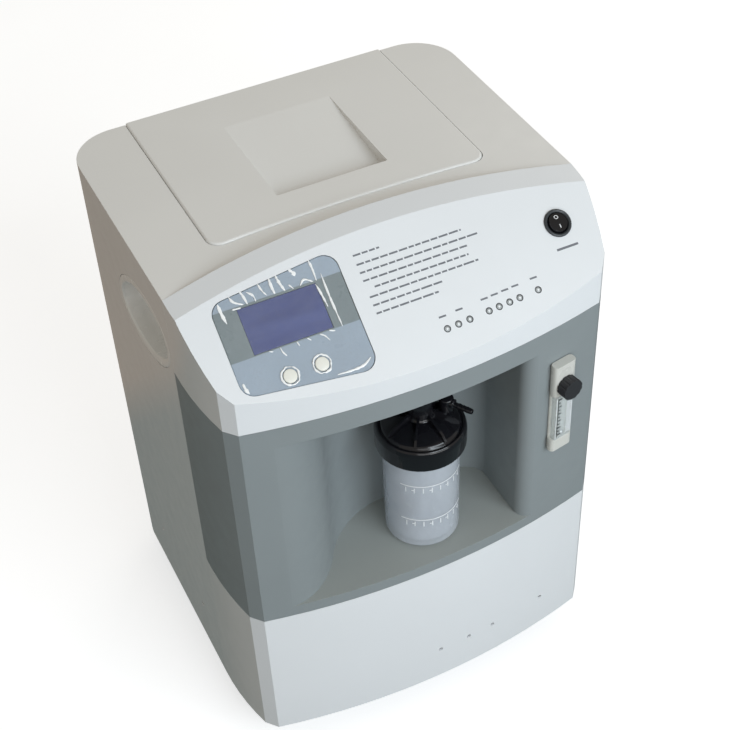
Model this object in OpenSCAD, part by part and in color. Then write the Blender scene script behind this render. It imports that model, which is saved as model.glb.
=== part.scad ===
// Stationary oxygen concentrator: wheeled cabinet with a sloping console, a bottle bay and a flow meter.
// Millimetres, +Z up. The origin lies on the floor under the middle of the cabinet's outline, and the
// front looks along -Y.

/* [Cabinet] */
// Width across the cabinet's sides
body_w = 365; // [362:1:368]
// Depth from the bow of the front to the flat back
body_d = 345; // [343:1:347]
// Height of the flat top above the floor
top_z = 503.5; // [502:0.5:505]
// Gap between the floor and the cabinet's lower edge
floor_gap = 30; // [28:1:31]
// Thickness of the moulded covers
wall = 3; // [2.5:0.5:3]
// Radius of the rear corners, seen from above
rear_corner_r = 42; // [40:1:44]

/* [Front] */
// Height where the white lower cover meets the grey bay panel
lower_top_z = 191; // [188:1:194]
// Height where the grey bay panel meets the white console
band_z = 421; // [418:1:424]
// Slope of the console, in degrees from level
console_tilt = 37.6; // [37:0.2:38.2]
// Height of the brow's highest point
crest_z = 516.5; // [515:0.5:518]
// Height of the bay's shelf
shelf_z = 202.7; // [201:0.1:204]
// Height of the bay's ceiling
ceiling_z = 400; // [398:1:402]

/* [Lid] */
// Width of the top lid
lid_w = 251; // [246:1:254]
// Travel of the lid from shut to open, in degrees
lid_open = 95; // [60:5:95]

/* [Humidifier bottle] */
// Outer radius of the jar
jar_r = 33.5; // [32:0.5:34]
// Outer radius of the cap
cap_r = 40.3; // [39:0.1:41]

/* [Casters] */
// Radius of a caster wheel
wheel_r = 24; // [22:1:24]
// Distance of the wheel's axle from the swivel axis
caster_trail = 16; // [12:1:16]

/* [Fits] */
// Radial clearance of a running fit
run_gap = 0.05; // [0.03:0.01:0.08]
// Gap between two covers
seam_gap = 0.3; // [0.2:0.1:0.4]

/* [Hidden] */

white = [0.86, 0.87, 0.88];
grey = [0.53, 0.57, 0.59];
steel = [0.72, 0.73, 0.75];
dark = [0.09, 0.09, 0.10];

// Plan of the cabinet
knob_proud = 9.65;
rear_y = (body_d + knob_proud) / 2;
front_y = rear_y - body_d;
side_x = body_w / 2;
seam_y = front_y + 102;
front_half = side_x - 19.8;
front_sag = 19.15;
front_r = (front_half * front_half + front_sag * front_sag) / (2 * front_sag);
front_a = asin(front_half / front_r);
side_r = 249;
side_a = 16.8;

// Brow: two shallow cylinders, one falling forwards and one backwards, meet along the crest
crest_y = seam_y + 16.5;
crest_sag = 16.5;
crest_r = (side_x * side_x + crest_sag * crest_sag) / (2 * crest_sag);
crest_a = asin(side_x / crest_r);
brow_front_sag = 10.9;
brow_front_tilt = 7.4;
brow_back_sag = 20.97;
brow_back_tilt = 25.6;
console_y = front_y + 19.15;
console_z = 454.4;

// Console furniture, as x and distance up the slope
switch_at = [143, 49.6];
button_at = [[-114, 6.2], [-87, 6.7]];
light_x = [18.8, 29, 39.4, 57.4, 66.9, 76.7, 86.3, 103.9];
window_pts = [[-154, 1.6], [-44.5, -12.2], [-44.5, 88.7], [-154, 77.4]];
display_pts = [[-134, 30.3], [-67, 30.3], [-67, 68.3], [-134, 68.3]];
button_r = 5.6;
light_r = 2.3;
switch_r = 12;

// Bottle bay: the left wall is an S of arcs, the right wall is straight
bay_back_y = front_y + 90;
bay_convex_o = [-149.2, front_y + 87.5];
bay_convex_r = 78;
bay_turn = 60;
bay_entry_r = 48;
bay_join = 30;
bay_lip_r = 12;
bay_concave_r = 83;
bay_corner_r = 20;
bay_right_x = 87;

// Humidifier
bottle = [8.5, -119.4];
jar_top_z = 326.5;
cap_low_z = 309;
cap_top_z = 341;
nut_top_z = 382;

// Flow meter, turned to face square out of the bowed front
meter_x = 121.5;
meter_turn = asin(meter_x / front_r);
meter_y = front_bow_y(meter_x);
meter_w = 23;
meter_low_z = 284;
meter_top_z = 383;
tube_low_z = 298;
tube_top_z = 349;
knob_z = 360;
knob_r = 10;
knob_tip = (meter_y - front_y + knob_proud - knob_r * sin(meter_turn)) / cos(meter_turn);
float_r = 2.9;

// Lid and storage tray
lid_front_y = seam_y + 40.5;
lid_bow = 5;
lid_top_z = top_z + 1.5;
lid_thick = 5;
hinge_y = rear_y - 4.5;
hinge_z = 481;
hinge_x = [-88, 88];
hinge_r = 4.2;
pin_r = 1.5;
ear_x = 9.4;
ear_w = 5;
pocket_x = [-52, 50];
pocket_y = [12.8, 127.8];
pocket_deep = 12;
tray_w = 228;
tray_y = [-12, 148];
tray_floor_z = 452;

// Grips
grip_y = 4;
grip_z = 431;
grip_tilt = 16;
grip_a = 66;
grip_b = 35;

// Machinery
base_z = 62;
base_thick = 3;
floor_z = base_z + base_thick;
base_rim_z = 96;
shaft_y = 12;
shaft_z = 142;
motor_x = [-20, 60];
box_x = [-112, 152];
box_y = [-60, 84];
box_top_z = 236;
fan_at = [20, 12];
fan_z = 239;
sieve_x = [-118, -38];
sieve_y = 132;
sieve_top_z = 332;
tank_at = [46, 120.5];
door_at = [-95, 400];
inlet_at = [112, 118];
breaker_at = [62, 118];
caster_xy = [[-130, -94], [130, -94], [-130, 132], [130, 132]];
coil_r = 50;
coil_pitch = 12;
coil_turns = 4;
front_screw_x = [1, 32, 58.6, 115.7];
front_screw_z = 70;
side_screw_y = [-21.8, 87.4];
side_screw_z = 86;
rear_screw_x = [-130, 130];
rear_screw_z = [58, 466];
swivel_r = 20;
stem_r = 5;
axle_r = 3;

// ---- plain helpers ----
function unit(v) = v / norm(v);

// How far back the bowed front lies at x
function front_bow_y(x) = front_y + front_r - sqrt(front_r * front_r - x * x);

// Arc of radius r that rounds corner b between the neighbours a and c
function fillet(a, b, c, r, n) =
    let (u = unit(a - b), v = unit(c - b), h = acos(u * v) / 2, o = b + unit(u + v) * r / sin(h))
    let (p = b + u * r / tan(h), q = b + v * r / tan(h))
    let (a0 = atan2(p[1] - o[1], p[0] - o[0]), a1 = atan2(q[1] - o[1], q[0] - o[0]))
    let (turn = (a1 - a0 + 540) % 360 - 180)
    [for (i = [0:n]) o + r * [cos(a0 + turn * i / n), sin(a0 + turn * i / n)]];

function rounded(pts, r, n = 6) = [for (i = [0:len(pts) - 1])
    each fillet(pts[(i + len(pts) - 1) % len(pts)], pts[i], pts[(i + 1) % len(pts)], r, n)];

function oval(a, b, n = 48) = [for (i = [0:n - 1]) [a * cos(360 * i / n), b * sin(360 * i / n)]];

function flip_x(pts) = [for (i = [len(pts) - 1:-1:0]) [-pts[i][0], pts[i][1]]];

// Front arc, side arc and crest arc of the cabinet's plan, set in by t
function front_arc(t, n = 16) = [for (i = [0:n]) let (a = front_a * (2 * i / n - 1))
    [(front_r - t) * sin(a), front_y + front_r - (front_r - t) * cos(a)]];
function side_arc(t, n = 5) = [for (i = [0:n]) let (a = side_a * i / n)
    [side_r - side_x - (side_r - t) * cos(a), seam_y - (side_r - t) * sin(a)]];
function crest_arc(dy, n = 16) = [for (i = [0:n]) let (a = crest_a * (1 - 2 * i / n))
    [crest_r * sin(a), crest_y + dy - crest_r + crest_r * cos(a)]];
function front_outline(t) = concat(side_arc(t), front_arc(t), flip_x(side_arc(t)));

// Outline of the bay, grown by g. The front runs into it over a soft lip on each side
function bay_outline(g, n = 10) =
    let (c1 = bay_convex_o, bend = c1 + bay_convex_r * [sin(bay_turn), -cos(bay_turn)])
    let (entry = c1 + (bay_convex_r - bay_entry_r) * [sin(bay_join), -cos(bay_join)])
    let (c2 = bend + bay_concave_r * [sin(bay_turn), -cos(bay_turn)])
    let (corner = [bay_right_x - bay_corner_r, bay_back_y - bay_corner_r], cr = bay_corner_r + g)
    let (lip = [bay_right_x + bay_lip_r, front_y + 18.87])
    concat([[-150 - g, front_y - 20]],
        [for (a = [-10:5:bay_join]) entry + (bay_entry_r - g) * [sin(a), -cos(a)]],
        [for (i = [1:n]) let (a = bay_join + (bay_turn - bay_join) * i / n)
            c1 + (bay_convex_r - g) * [sin(a), -cos(a)]],
        [for (i = [1:n]) let (a = bay_turn * (1 - i / n)) c2 + (bay_concave_r + g) * [-sin(a), cos(a)]],
        [for (i = [0:n]) let (a = 90 - 90 * i / n) corner + cr * [cos(a), sin(a)]],
        [for (b = [0:15:90]) lip - (bay_lip_r - g) * [cos(b), sin(b)]],
        [[bay_right_x + 18 + g, front_y - 20]]);

// The row of lights climbs a little along the bowed lower edge of the console
function light_s(x) = -1 + 4.5 * (x - light_x[0]) / 85;

module column(pts, z0, z1) { translate([0, 0, z0]) linear_extrude(z1 - z0) polygon(pts); }

// Extrudes an outline drawn as [y, z] from x0 to x1
module along_x(pts, x0, x1) {
    translate([x0, 0, 0]) rotate([90, 0, 90]) linear_extrude(x1 - x0) polygon(pts);
}

module block(lo, hi) { translate(lo) cube(hi - lo); }

// Curve through pts, with n steps from each point to the next
function smooth(pts, n = 4) = concat([for (i = [0:len(pts) - 2], k = [0:n - 1])
    let (t = k / n, p = pts[i], q = pts[i + 1])
    let (m0 = (q - pts[max(i - 1, 0)]) / 2, m1 = (pts[min(i + 2, len(pts) - 1)] - p) / 2)
    p * (1 - 3 * t * t + 2 * t * t * t) + q * (3 * t * t - 2 * t * t * t)
        + m0 * (t - 2 * t * t + t * t * t) + m1 * (t * t * t - t * t)], [pts[len(pts) - 1]]);

// Round tube of radius r swept along a path as one polyhedron
module sweep(path, r, sides = 10) {
    n = len(path) - 1;
    aside = unit([0.31, 0.47, 0.83]);
    rings = [for (i = [0:n]) let (t = unit(path[min(i + 1, n)] - path[max(i - 1, 0)]))
        let (u = unit(cross(t, aside)), v = cross(t, u))
        for (j = [0:sides - 1]) path[i] + r * (cos(360 * j / sides) * u + sin(360 * j / sides) * v)];
    skin = [for (i = [0:n - 1], j = [0:sides - 1]) let (k = (j + 1) % sides)
        [sides * i + j, sides * (i + 1) + j, sides * (i + 1) + k, sides * i + k]];
    ends = [[for (j = [0:sides - 1]) j], [for (j = [sides - 1:-1:0]) sides * n + j]];
    polyhedron(points = rings, faces = concat(skin, ends));
}

// Places children on the console: x across, s up the slope, local +Z square out of it
module on_console(x, s) {
    translate([x, console_y + s * cos(console_tilt), console_z + s * sin(console_tilt)])
        rotate([console_tilt, 0, 0]) children();
}

// Places children on the flow meter's face: local -Y points out of the cabinet
module on_meter() { translate([meter_x, meter_y, 0]) rotate([0, 0, meter_turn]) children(); }

module rear_plan(t) {
    back = rear_y - t - seam_y;
    translate([t - side_x, seam_y]) square([body_w - 2 * t, back - rear_corner_r + t]);
    translate([rear_corner_r - side_x, seam_y]) square([body_w - 2 * rear_corner_r, back]);
    for (s = [-1, 1]) translate([s * (side_x - rear_corner_r), rear_y - rear_corner_r])
        circle(r = rear_corner_r - t, $fn = 96);
}

// Everything under the front or the back slope of the brow, lowered by drop
module under_brow(sag, tilt, drop) {
    r = (side_x * side_x + sag * sag) / (2 * sag);
    translate([0, crest_y, crest_z - drop]) rotate([tilt, 0, 0]) translate([0, 0, -r])
        rotate([90, 0, 0]) cylinder(r = r, h = 600, center = true, $fn = 360);
}

module under_console(drop) {
    on_console(0, 0) translate([-300, -100, -300 - drop]) cube([600, 400, 300]);
}

// Side profile between two covers that rises by 8 mm from the chamfer to the side seam
module below_seam(z) {
    along_x([[front_y - 30, -50], [front_y - 30, z], [seam_y - 71.9, z], [seam_y, z + 8],
        [rear_y, z + 8], [rear_y, -50]], -200, 200);
}

// ---- covers ----
module lower_cover() color(white) difference() {
    intersection() {
        column(front_outline(0), floor_gap, lower_top_z + 20);
        below_seam(lower_top_z - seam_gap);
    }
    intersection() {
        column(concat(front_outline(wall), [[side_x - wall, 0], [wall - side_x, 0]]), 0, lower_top_z + 30);
        below_seam(lower_top_z + 30);
    }
    for (x = front_screw_x) translate([x, front_y - 5, front_screw_z]) rotate([-90, 0, 0])
        cylinder(r = 2.2, h = 30, $fn = 24);
}

module bay_panel() color(grey) difference() {
    intersection() {
        union() {
            difference() {
                column(front_outline(0), lower_top_z, band_z + 12);
                column(concat(front_outline(wall), [[side_x - wall, 0], [wall - side_x, 0]]), 0, 600);
            }
            intersection() {
                column(front_outline(0), lower_top_z, band_z);
                column(bay_outline(wall), shelf_z - wall, ceiling_z + wall);
            }
        }
        below_seam(band_z - seam_gap);
    }
    column(bay_outline(0), shelf_z, ceiling_z);
    below_seam(lower_top_z);
    translate([bottle[0], bottle[1], ceiling_z - 1]) cylinder(r = 8.2, h = 10, $fn = 32);
    on_meter() block([-7, -10, meter_low_z + 8], [7, 20, meter_top_z - 8]);
}

module front_cover() color(white) difference() {
    intersection() {
        union() {
            column(front_outline(0), band_z, crest_z + 10);
            column(concat([[side_x, seam_y - 1]], crest_arc(0), [[-side_x, seam_y - 1]]),
                band_z, crest_z + 10);
        }
        under_console(0);
        under_brow(brow_front_sag, brow_front_tilt, 0);
    }
    below_seam(band_z);
    intersection() {
        column(concat(front_outline(wall), [[side_x - wall, 0], [wall - side_x, 0]]), 0, crest_z + 20);
        under_console(wall);
        under_brow(brow_front_sag, brow_front_tilt, wall);
    }
    translate([-300, seam_y, 0]) cube([600, 200, top_z - wall]);
    on_console(0, 0) translate([0, 0, -10]) linear_extrude(30) polygon(rounded(window_pts, 12));
    for (x = light_x) on_console(x, light_s(x))
        cylinder(r = light_r + seam_gap, h = 20, center = true, $fn = 24);
    on_console(switch_at[0], switch_at[1]) cylinder(r = 10.4, h = 20, center = true, $fn = 48);
}

module rear_casing() color(white) difference() {
    union() {
        difference() {
            translate([0, 0, floor_gap]) linear_extrude(top_z - floor_gap) rear_plan(0);
            linear_extrude(top_z - wall) rear_plan(wall);
            translate([wall - side_x, seam_y - 1, 0]) cube([body_w - 2 * wall, 2, top_z - wall]);
        }
        intersection() {
            column(concat(crest_arc(0), [[-side_x, -15], [side_x, -15]]), top_z - wall, crest_z + 5);
            under_brow(brow_back_sag, -brow_back_tilt, 0);
        }
        for (x = hinge_x, s = [-1, 1]) translate([x + s * ear_x, 0, 0]) hinge_ear(ear_w);
    }
    intersection() {
        column(concat(crest_arc(2), [[4 - side_x, -17], [side_x - 4, -17]]), top_z - 2 * wall, crest_z + 5);
        under_brow(brow_back_sag, -brow_back_tilt, wall);
        translate([-160, -100, 0]) cube([320, 100, 600]);
    }
    column(concat([[side_x + 1, seam_y - 30]], crest_arc(seam_gap), [[-side_x - 1, seam_y - 30]]),
        top_z - 15, 600);
    lid_rebate();
    translate([-tray_w / 2, tray_y[0], top_z - 20]) cube([tray_w, tray_y[1] - tray_y[0], 30]);
    for (x = hinge_x, s = [-1, 1]) translate([x, hinge_y, hinge_z]) rotate([0, 90, 0])
        cylinder(r = pin_r + run_gap, h = 60, center = true, $fn = 32);
    for (s = [-1, 1]) grip_cut(s);
    translate([door_at[0] - 44, rear_y - 10, door_at[1] - 34]) cube([88, 20, 68]);
    translate([inlet_at[0] - 14, rear_y - 10, inlet_at[1] - 10.5]) cube([28, 20, 21]);
    translate([breaker_at[0], rear_y - 10, breaker_at[1]]) rotate([-90, 0, 0])
        cylinder(r = 6.2, h = 20, $fn = 32);
    for (i = [0:8], s = [0, 1]) translate([-150 + 82 * s, rear_y - 10, 100 + 11 * i]) cube([66, 20, 4]);
    for (x = rear_screw_x, z = rear_screw_z) translate([x, rear_y - 10, z]) rotate([-90, 0, 0])
        cylinder(r = 2.2, h = 20, $fn = 24);
    for (x = [-200, 170], y = side_screw_y) translate([x, y, side_screw_z]) rotate([0, 90, 0])
        cylinder(r = 2.2, h = 30, $fn = 24);
}

// Outline of the lid, grown by g
function lid_outline(g) =
    let (x = lid_w / 2 + g, y = lid_front_y - g, n = 8)
    concat([[x, rear_y + 20 * g]], fillet([x, rear_y], [x, y], [x / 2, y + lid_bow * 0.75], 12, 6),
        [for (i = [-n + 2:n - 2]) [-x * i / n, y + lid_bow * (1 - pow(i / n, 2))]],
        fillet([-x / 2, y + lid_bow * 0.75], [-x, y], [-x, rear_y], 12, 6), [[-x, rear_y + 20 * g]]);

// The lid lies in a step of the casing's top, and its rear skirt in a notch of the back
module lid_rebate() {
    side = lid_w / 2 + 0.5;
    column(lid_outline(0.5), lid_top_z - lid_thick - 0.2, top_z + 30);
    difference() {
        block([-side, rear_y - 9.3, hinge_z - 5.3], [side, rear_y + 20, top_z + 30]);
        for (x = hinge_x, s = [-1, 1]) translate([x + s * ear_x, 0, 0]) hinge_ear(ear_w);
    }
}

module hinge_ear(len) {
    translate([-len / 2, hinge_y, hinge_z]) rotate([0, 90, 0]) cylinder(r = hinge_r, h = len, $fn = 48);
    translate([-len / 2, hinge_y - hinge_r, hinge_z - 16]) cube([len, 2 * hinge_r, 16]);
}

module top_lid() color(white) difference() {
    union() {
        column(lid_outline(0), lid_top_z - lid_thick, lid_top_z);
        along_x([[pocket_y[0] - 3, lid_top_z - pocket_deep - 3], [pocket_y[0] - 3, lid_top_z - 1],
            [pocket_y[1] + 4, lid_top_z - 1], [pocket_y[1] + 4, lid_top_z - 4]],
            pocket_x[0] - 3, pocket_x[1] + 3);
        translate([-lid_w / 2, rear_y - 3, hinge_z - 1]) cube([lid_w, 3, lid_top_z - hinge_z]);
        for (x = hinge_x) {
            translate([x - 6.5, hinge_y, hinge_z]) rotate([0, 90, 0])
                cylinder(r = hinge_r, h = 13, $fn = 48);
            block([x - 6.5, hinge_y - hinge_r, hinge_z], [x + 6.5, hinge_y + hinge_r, lid_top_z - 1]);
        }
    }
    along_x([[pocket_y[0], lid_top_z + 1], [pocket_y[0], lid_top_z - pocket_deep],
        [pocket_y[1], lid_top_z], [pocket_y[1], lid_top_z + 1]], pocket_x[0], pocket_x[1]);
    for (x = hinge_x) {
        translate([x - 40, hinge_y, hinge_z]) rotate([0, 90, 0])
            cylinder(r = pin_r + run_gap, h = 80, $fn = 32);
        for (s = [-1, 1]) translate([x + s * ear_x - 2.8, rear_y - 6, hinge_z - 5]) cube([5.6, 10, 10.5]);
    }
}

module lid_hinge_pins() color(steel) for (x = hinge_x) translate([x - 12, hinge_y, hinge_z])
    rotate([0, 90, 0]) cylinder(r = pin_r, h = 24, $fn = 32);

module storage_tray() color(grey) difference() {
    union() {
        block([-tray_w / 2 + 0.5, tray_y[0] + 0.5, tray_floor_z], [tray_w / 2 - 0.5, tray_y[1] - 0.5, 496]);
        block([-tray_w / 2 - 6, tray_y[0] - 6, 493.6], [tray_w / 2 + 6, tray_y[1] + 6, 495.8]);
    }
    block([-tray_w / 2 + 2.5, tray_y[0] + 2.5, tray_floor_z + 2], [tray_w / 2 - 2.5, tray_y[1] - 2.5, 520]);
}

// ---- grips ----
// Oval on the cabinet's side, from x0 to x1 measured inwards from the left or right face
module side_oval(side, a, b, x0, x1) {
    translate([side > 0 ? side_x - x1 : -side_x + x0, grip_y, grip_z]) rotate([90, 0, 90])
        rotate([0, 0, -grip_tilt]) linear_extrude(x1 - x0) polygon(oval(a, b));
}

module grip_cut(side) {
    side_oval(side, grip_a + 0.3, grip_b + 0.3, -5, 1.6);
    side_oval(side, grip_a - 5, grip_b - 5, -5, 10);
}

module grip(side) color(white) difference() {
    union() {
        side_oval(side, grip_a, grip_b, 0, 1.5);
        side_oval(side, grip_a - 5.3, grip_b - 5.3, 0, 30);
    }
    side_oval(side, grip_a - 7.5, grip_b - 7.5, -1, 28);
}

module grip_left() { grip(-1); }
module grip_right() { grip(1); }

// ---- console ----
module display_window() color([0.55, 0.62, 0.70]) difference() {
    on_console(0, 0) translate([0, 0, -2.6]) linear_extrude(2) polygon(rounded([for (i = [0:3])
        window_pts[i] + 0.4 * [i == 0 || i == 3 ? 1 : -1, i < 2 ? 1 : -1]], 12));
    on_console(0, 0) translate([0, 0, -10]) linear_extrude(20) polygon(display_pts);
    for (b = button_at) on_console(b[0], b[1]) cylinder(r = button_r + 0.3, h = 20, center = true, $fn = 48);
}

module display_module() color([0.25, 0.30, 0.60]) {
    on_console(0, 0) {
        translate([-133.7, 30.6, -7]) cube([66.4, 37.4, 6]);
        translate([-138, 24, -8.6]) cube([75, 50, 2]);
    }
}

module button(at) color([0.92, 0.91, 0.86]) on_console(at[0], at[1]) {
    translate([0, 0, -6]) cylinder(r = button_r, h = 7, $fn = 48);
    translate([0, 0, -7]) cylinder(r = button_r + 1.2, h = 2.5, $fn = 48);
}
module button_left() { button(button_at[0]); }
module button_right() { button(button_at[1]); }

module indicator_lights() color([0.45, 0.47, 0.48]) for (x = light_x) on_console(x, light_s(x)) {
    translate([0, 0, -6]) cylinder(r = light_r, h = 6.3, $fn = 24);
    translate([0, 0, -5.5]) cylinder(r = light_r + 1, h = 2, $fn = 24);
}

module switch_housing() color(dark) on_console(switch_at[0], switch_at[1]) difference() {
    union() {
        translate([0, 0, 0.05]) cylinder(r = switch_r, h = 2, $fn = 64);
        translate([0, 0, -22]) cylinder(r = 10, h = 23, $fn = 64);
    }
    translate([0, 0, -11]) cylinder(r = 9.2, h = 20, $fn = 64);
    translate([0, 0, -1.5]) rotate([0, 90, 0]) cylinder(r = 1.2 + run_gap, h = 30, center = true, $fn = 24);
}

// The rocker lies tipped back by 8 degrees, and tips forwards by 16
module switch_rocker() color([0.12, 0.12, 0.13]) on_console(switch_at[0], switch_at[1])
    translate([0, 0, -1.5]) rotate([-8, 0, 0]) {
        intersection() {
            sphere(r = 8.9, $fn = 64);
            along_x([[-10, -5], [10, -5], [10, 3.2], [0, 4.6], [-10, 3.2]], -10, 10);
        }
        rotate([0, 90, 0]) cylinder(r = 1.2, h = 19.4, center = true, $fn = 24);
    }

module control_board() color([0.10, 0.42, 0.22]) {
    block([-100, -62, 300], [60, -60.4, 420]);
    block([-90, -60.4, 312], [-50, -42, 340]);
    block([-30, -60.4, 330], [0, -48, 360]);
    for (i = [0:4]) translate([20, -60.5, 312 + 16 * i]) rotate([-90, 0, 0])
        cylinder(r = 5, h = 16, $fn = 24);
    block([-80, -60.4, 370], [30, -55, 380]);
}

// ---- flow meter ----
meter_end = rounded([[-meter_w / 2, -9], [meter_w / 2, -9], [meter_w / 2, -0.5], [-meter_w / 2, -0.5]], 3.5, 4);

module flow_meter_body() color([0.80, 0.80, 0.78]) on_meter() difference() {
    union() {
        column(rounded([[-10, -2.5], [10, -2.5], [10, 0], [-10, 0]], 0.8, 3),
            meter_low_z + 2, meter_top_z - 2);
        column(meter_end, meter_low_z, tube_low_z - 0.2);
        column(meter_end, tube_top_z + 0.2, meter_top_z);
        block([-6.5, -1, meter_low_z + 10], [6.5, 16, meter_low_z + 30]);
        block([-6.5, -1, meter_top_z - 32], [6.5, 16, meter_top_z - 10]);
    }
    translate([0, 1, knob_z]) rotate([90, 0, 0]) cylinder(r = 2.5 + run_gap, h = 30, $fn = 32);
}

module flow_meter_tube() color([0.85, 0.92, 0.93, 0.6]) on_meter() difference() {
    column(rounded([[-9.5, -9.5], [9.5, -9.5], [9.5, -2.7], [-9.5, -2.7]], 2, 4), tube_low_z, tube_top_z);
    translate([0, -6, tube_low_z - 1]) cylinder(r = float_r + 0.2, h = 100, $fn = 32);
}

module flow_float() color([0.15, 0.15, 0.16]) on_meter() translate([0, -6, tube_low_z + float_r + 0.2])
    sphere(r = float_r, $fn = 32);

module flow_knob() color(dark) on_meter() {
    translate([0, -9.4, knob_z]) rotate([90, 0, 0]) difference() {
        cylinder(r = knob_r, h = knob_tip - 9.4, $fn = 64);
        for (i = [0:11]) rotate([0, 0, 30 * i]) translate([knob_r + 0.6, 0, -1])
            cylinder(r = 1.2, h = 20, $fn = 16);
    }
    translate([0, 0, knob_z]) rotate([90, 0, 0]) cylinder(r = 2.5, h = 10, $fn = 32);
}

// ---- humidifier ----
module outlet_stub() color(dark) translate([bottle[0], bottle[1], 0]) {
    translate([0, 0, nut_top_z + 0.4]) cylinder(r = 6, h = 34, $fn = 48);
    translate([0, 0, ceiling_z - 4.2]) cylinder(r = 13, h = 4, $fn = 6);
}

module humidifier_cap() color(dark) translate([bottle[0], bottle[1], 0]) {
    difference() {
        union() {
            rotate_extrude($fn = 96) polygon([[34.9, cap_low_z], [cap_r, cap_low_z], [cap_r, cap_low_z + 16],
                [cap_r - 1.4, cap_low_z + 20.5], [cap_r - 5.8, cap_low_z + 24], [22, cap_top_z - 2.8],
                [0, cap_top_z], [0, cap_top_z - 4], [22, cap_top_z - 7], [34.9, jar_top_z + 1]]);
            cylinder_at(11, cap_top_z - 1, cap_top_z + 16);
            for (i = [0:7]) rotate([0, 0, 45 * i + 10]) translate([0, 1.2, cap_top_z])
                rotate([90, 0, 0]) linear_extrude(2.4)
                    polygon([[8, -1.5], [8, 4.5], [31, -3], [36, -9], [34, -10.5]]);
            translate([22, -6, cap_top_z - 7]) cylinder(r = 6.5, h = 21, $fn = 48);
            translate([22, -6, cap_top_z + 8]) rotate([90, 0, 30]) {
                cylinder(r = 4.4, h = 8, $fn = 32);
                cylinder(r = 2.8, h = 26, $fn = 32);
            }
        }
        translate([22, -6, cap_top_z + 8]) rotate([90, 0, 30]) cylinder(r = 1.6, h = 30, $fn = 32);
        cylinder_at(3, cap_top_z - 10, cap_top_z + 20);
    }
}

module cylinder_at(r, z0, z1) { translate([0, 0, z0]) cylinder(r = r, h = z1 - z0, $fn = 48); }

module humidifier_nut() color(dark) translate([bottle[0], bottle[1], 0]) difference() {
    union() {
        cylinder_at(12.5, cap_top_z + 16.2, nut_top_z);
        for (i = [0, 1]) rotate([0, 0, 180 * i + 55]) translate([8, -2, cap_top_z + 20]) cube([12, 4, 14]);
    }
    cylinder_at(6.3, cap_top_z + 10, nut_top_z + 5);
}

module humidifier_jar() color([0.86, 0.89, 0.90, 0.7]) translate([bottle[0], bottle[1], 0])
    rotate_extrude($fn = 96) polygon([[0, shelf_z + 0.3], [jar_r - 4, shelf_z + 0.3], [jar_r, shelf_z + 4.3],
        [jar_r + 0.6, jar_top_z], [jar_r - 1.6, jar_top_z], [jar_r - 2.2, shelf_z + 5],
        [jar_r - 5, shelf_z + 2.5], [0, shelf_z + 2.5]]);

module diffuser_tube() color([0.80, 0.82, 0.80]) translate([bottle[0], bottle[1], 0]) difference() {
    union() {
        cylinder_at(2.9, shelf_z + 16, cap_top_z + 12);
        cylinder_at(6, shelf_z + 8, shelf_z + 24);
    }
    cylinder_at(1.6, shelf_z + 26, cap_top_z + 20);
}

// ---- base and casters ----
module base_plan(t) {
    rear_plan(t);
    polygon(front_outline(t));
}

module base_plate() color(steel) difference() {
    translate([0, 0, base_z]) linear_extrude(base_rim_z - base_z) base_plan(wall + 0.4);
    translate([0, 0, floor_z]) linear_extrude(60) base_plan(wall + 2.4);
    for (c = caster_xy) translate([c[0], c[1], 0]) cylinder(r = stem_r + run_gap, h = 200, $fn = 48);
    for (i = [-3:3]) translate([20 + 22 * i - 5, -30, 0]) cube([10, 84, 200]);
    for (x = front_screw_x) translate([x, front_y - 5, front_screw_z]) rotate([-90, 0, 0])
        cylinder(r = 1.7, h = 40, $fn = 24);
    for (x = [-200, 160], y = side_screw_y) translate([x, y, side_screw_z]) rotate([0, 90, 0])
        cylinder(r = 1.7, h = 40, $fn = 24);
}

module caster_fork(i) color(steel) translate([caster_xy[i][0], caster_xy[i][1], 0]) {
    cylinder_at(stem_r, 55, floor_z);
    cylinder_at(swivel_r, 55, base_z - 0.3);
    for (s = [-1, 1]) hull() {
        translate([s * 10.4, caster_trail, wheel_r]) rotate([0, 90, 0])
            cylinder(r = 6, h = 2.4, center = true, $fn = 32);
        translate([s * 10.4, 2, 54]) cube([2.4, 24, 4], center = true);
    }
    translate([0, caster_trail, wheel_r]) rotate([0, 90, 0])
        cylinder(r = axle_r, h = 22, center = true, $fn = 32);
}

module caster_wheel(i) color([0.25, 0.26, 0.27])
    translate([caster_xy[i][0], caster_xy[i][1] + caster_trail, wheel_r]) rotate([0, 90, 0]) difference() {
        rotate_extrude($fn = 72) polygon([[axle_r + run_gap, -9], [10, -9], [11, -7], [18, -7], [19, -8],
            [wheel_r - 1, -8], [wheel_r, -6.5], [wheel_r, 6.5], [wheel_r - 1, 8], [19, 8], [18, 7], [11, 7],
            [10, 9], [axle_r + run_gap, 9]]);
    }

module caster_fork_1() { caster_fork(0); }
module caster_fork_2() { caster_fork(1); }
module caster_fork_3() { caster_fork(2); }
module caster_fork_4() { caster_fork(3); }
module caster_wheel_1() { caster_wheel(0); }
module caster_wheel_2() { caster_wheel(1); }
module caster_wheel_3() { caster_wheel(2); }
module caster_wheel_4() { caster_wheel(3); }

// ---- compressor and cooling ----
module shaft_line(x0, x1, r) {
    translate([x0, shaft_y, shaft_z]) rotate([0, 90, 0]) cylinder(r = r, h = x1 - x0, $fn = 64);
}

module compressor_motor() color([0.30, 0.31, 0.33]) difference() {
    shaft_line(motor_x[0] + 0.2, motor_x[1] - 0.2, 47);
    for (a = [0:15:345]) translate([0, shaft_y, shaft_z]) rotate([a, 0, 0])
        block([motor_x[0] + 8, 45, -1.5], [motor_x[1] - 8, 50, 1.5]);
    shaft_line(-60, 100, 6 + run_gap);
}

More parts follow.
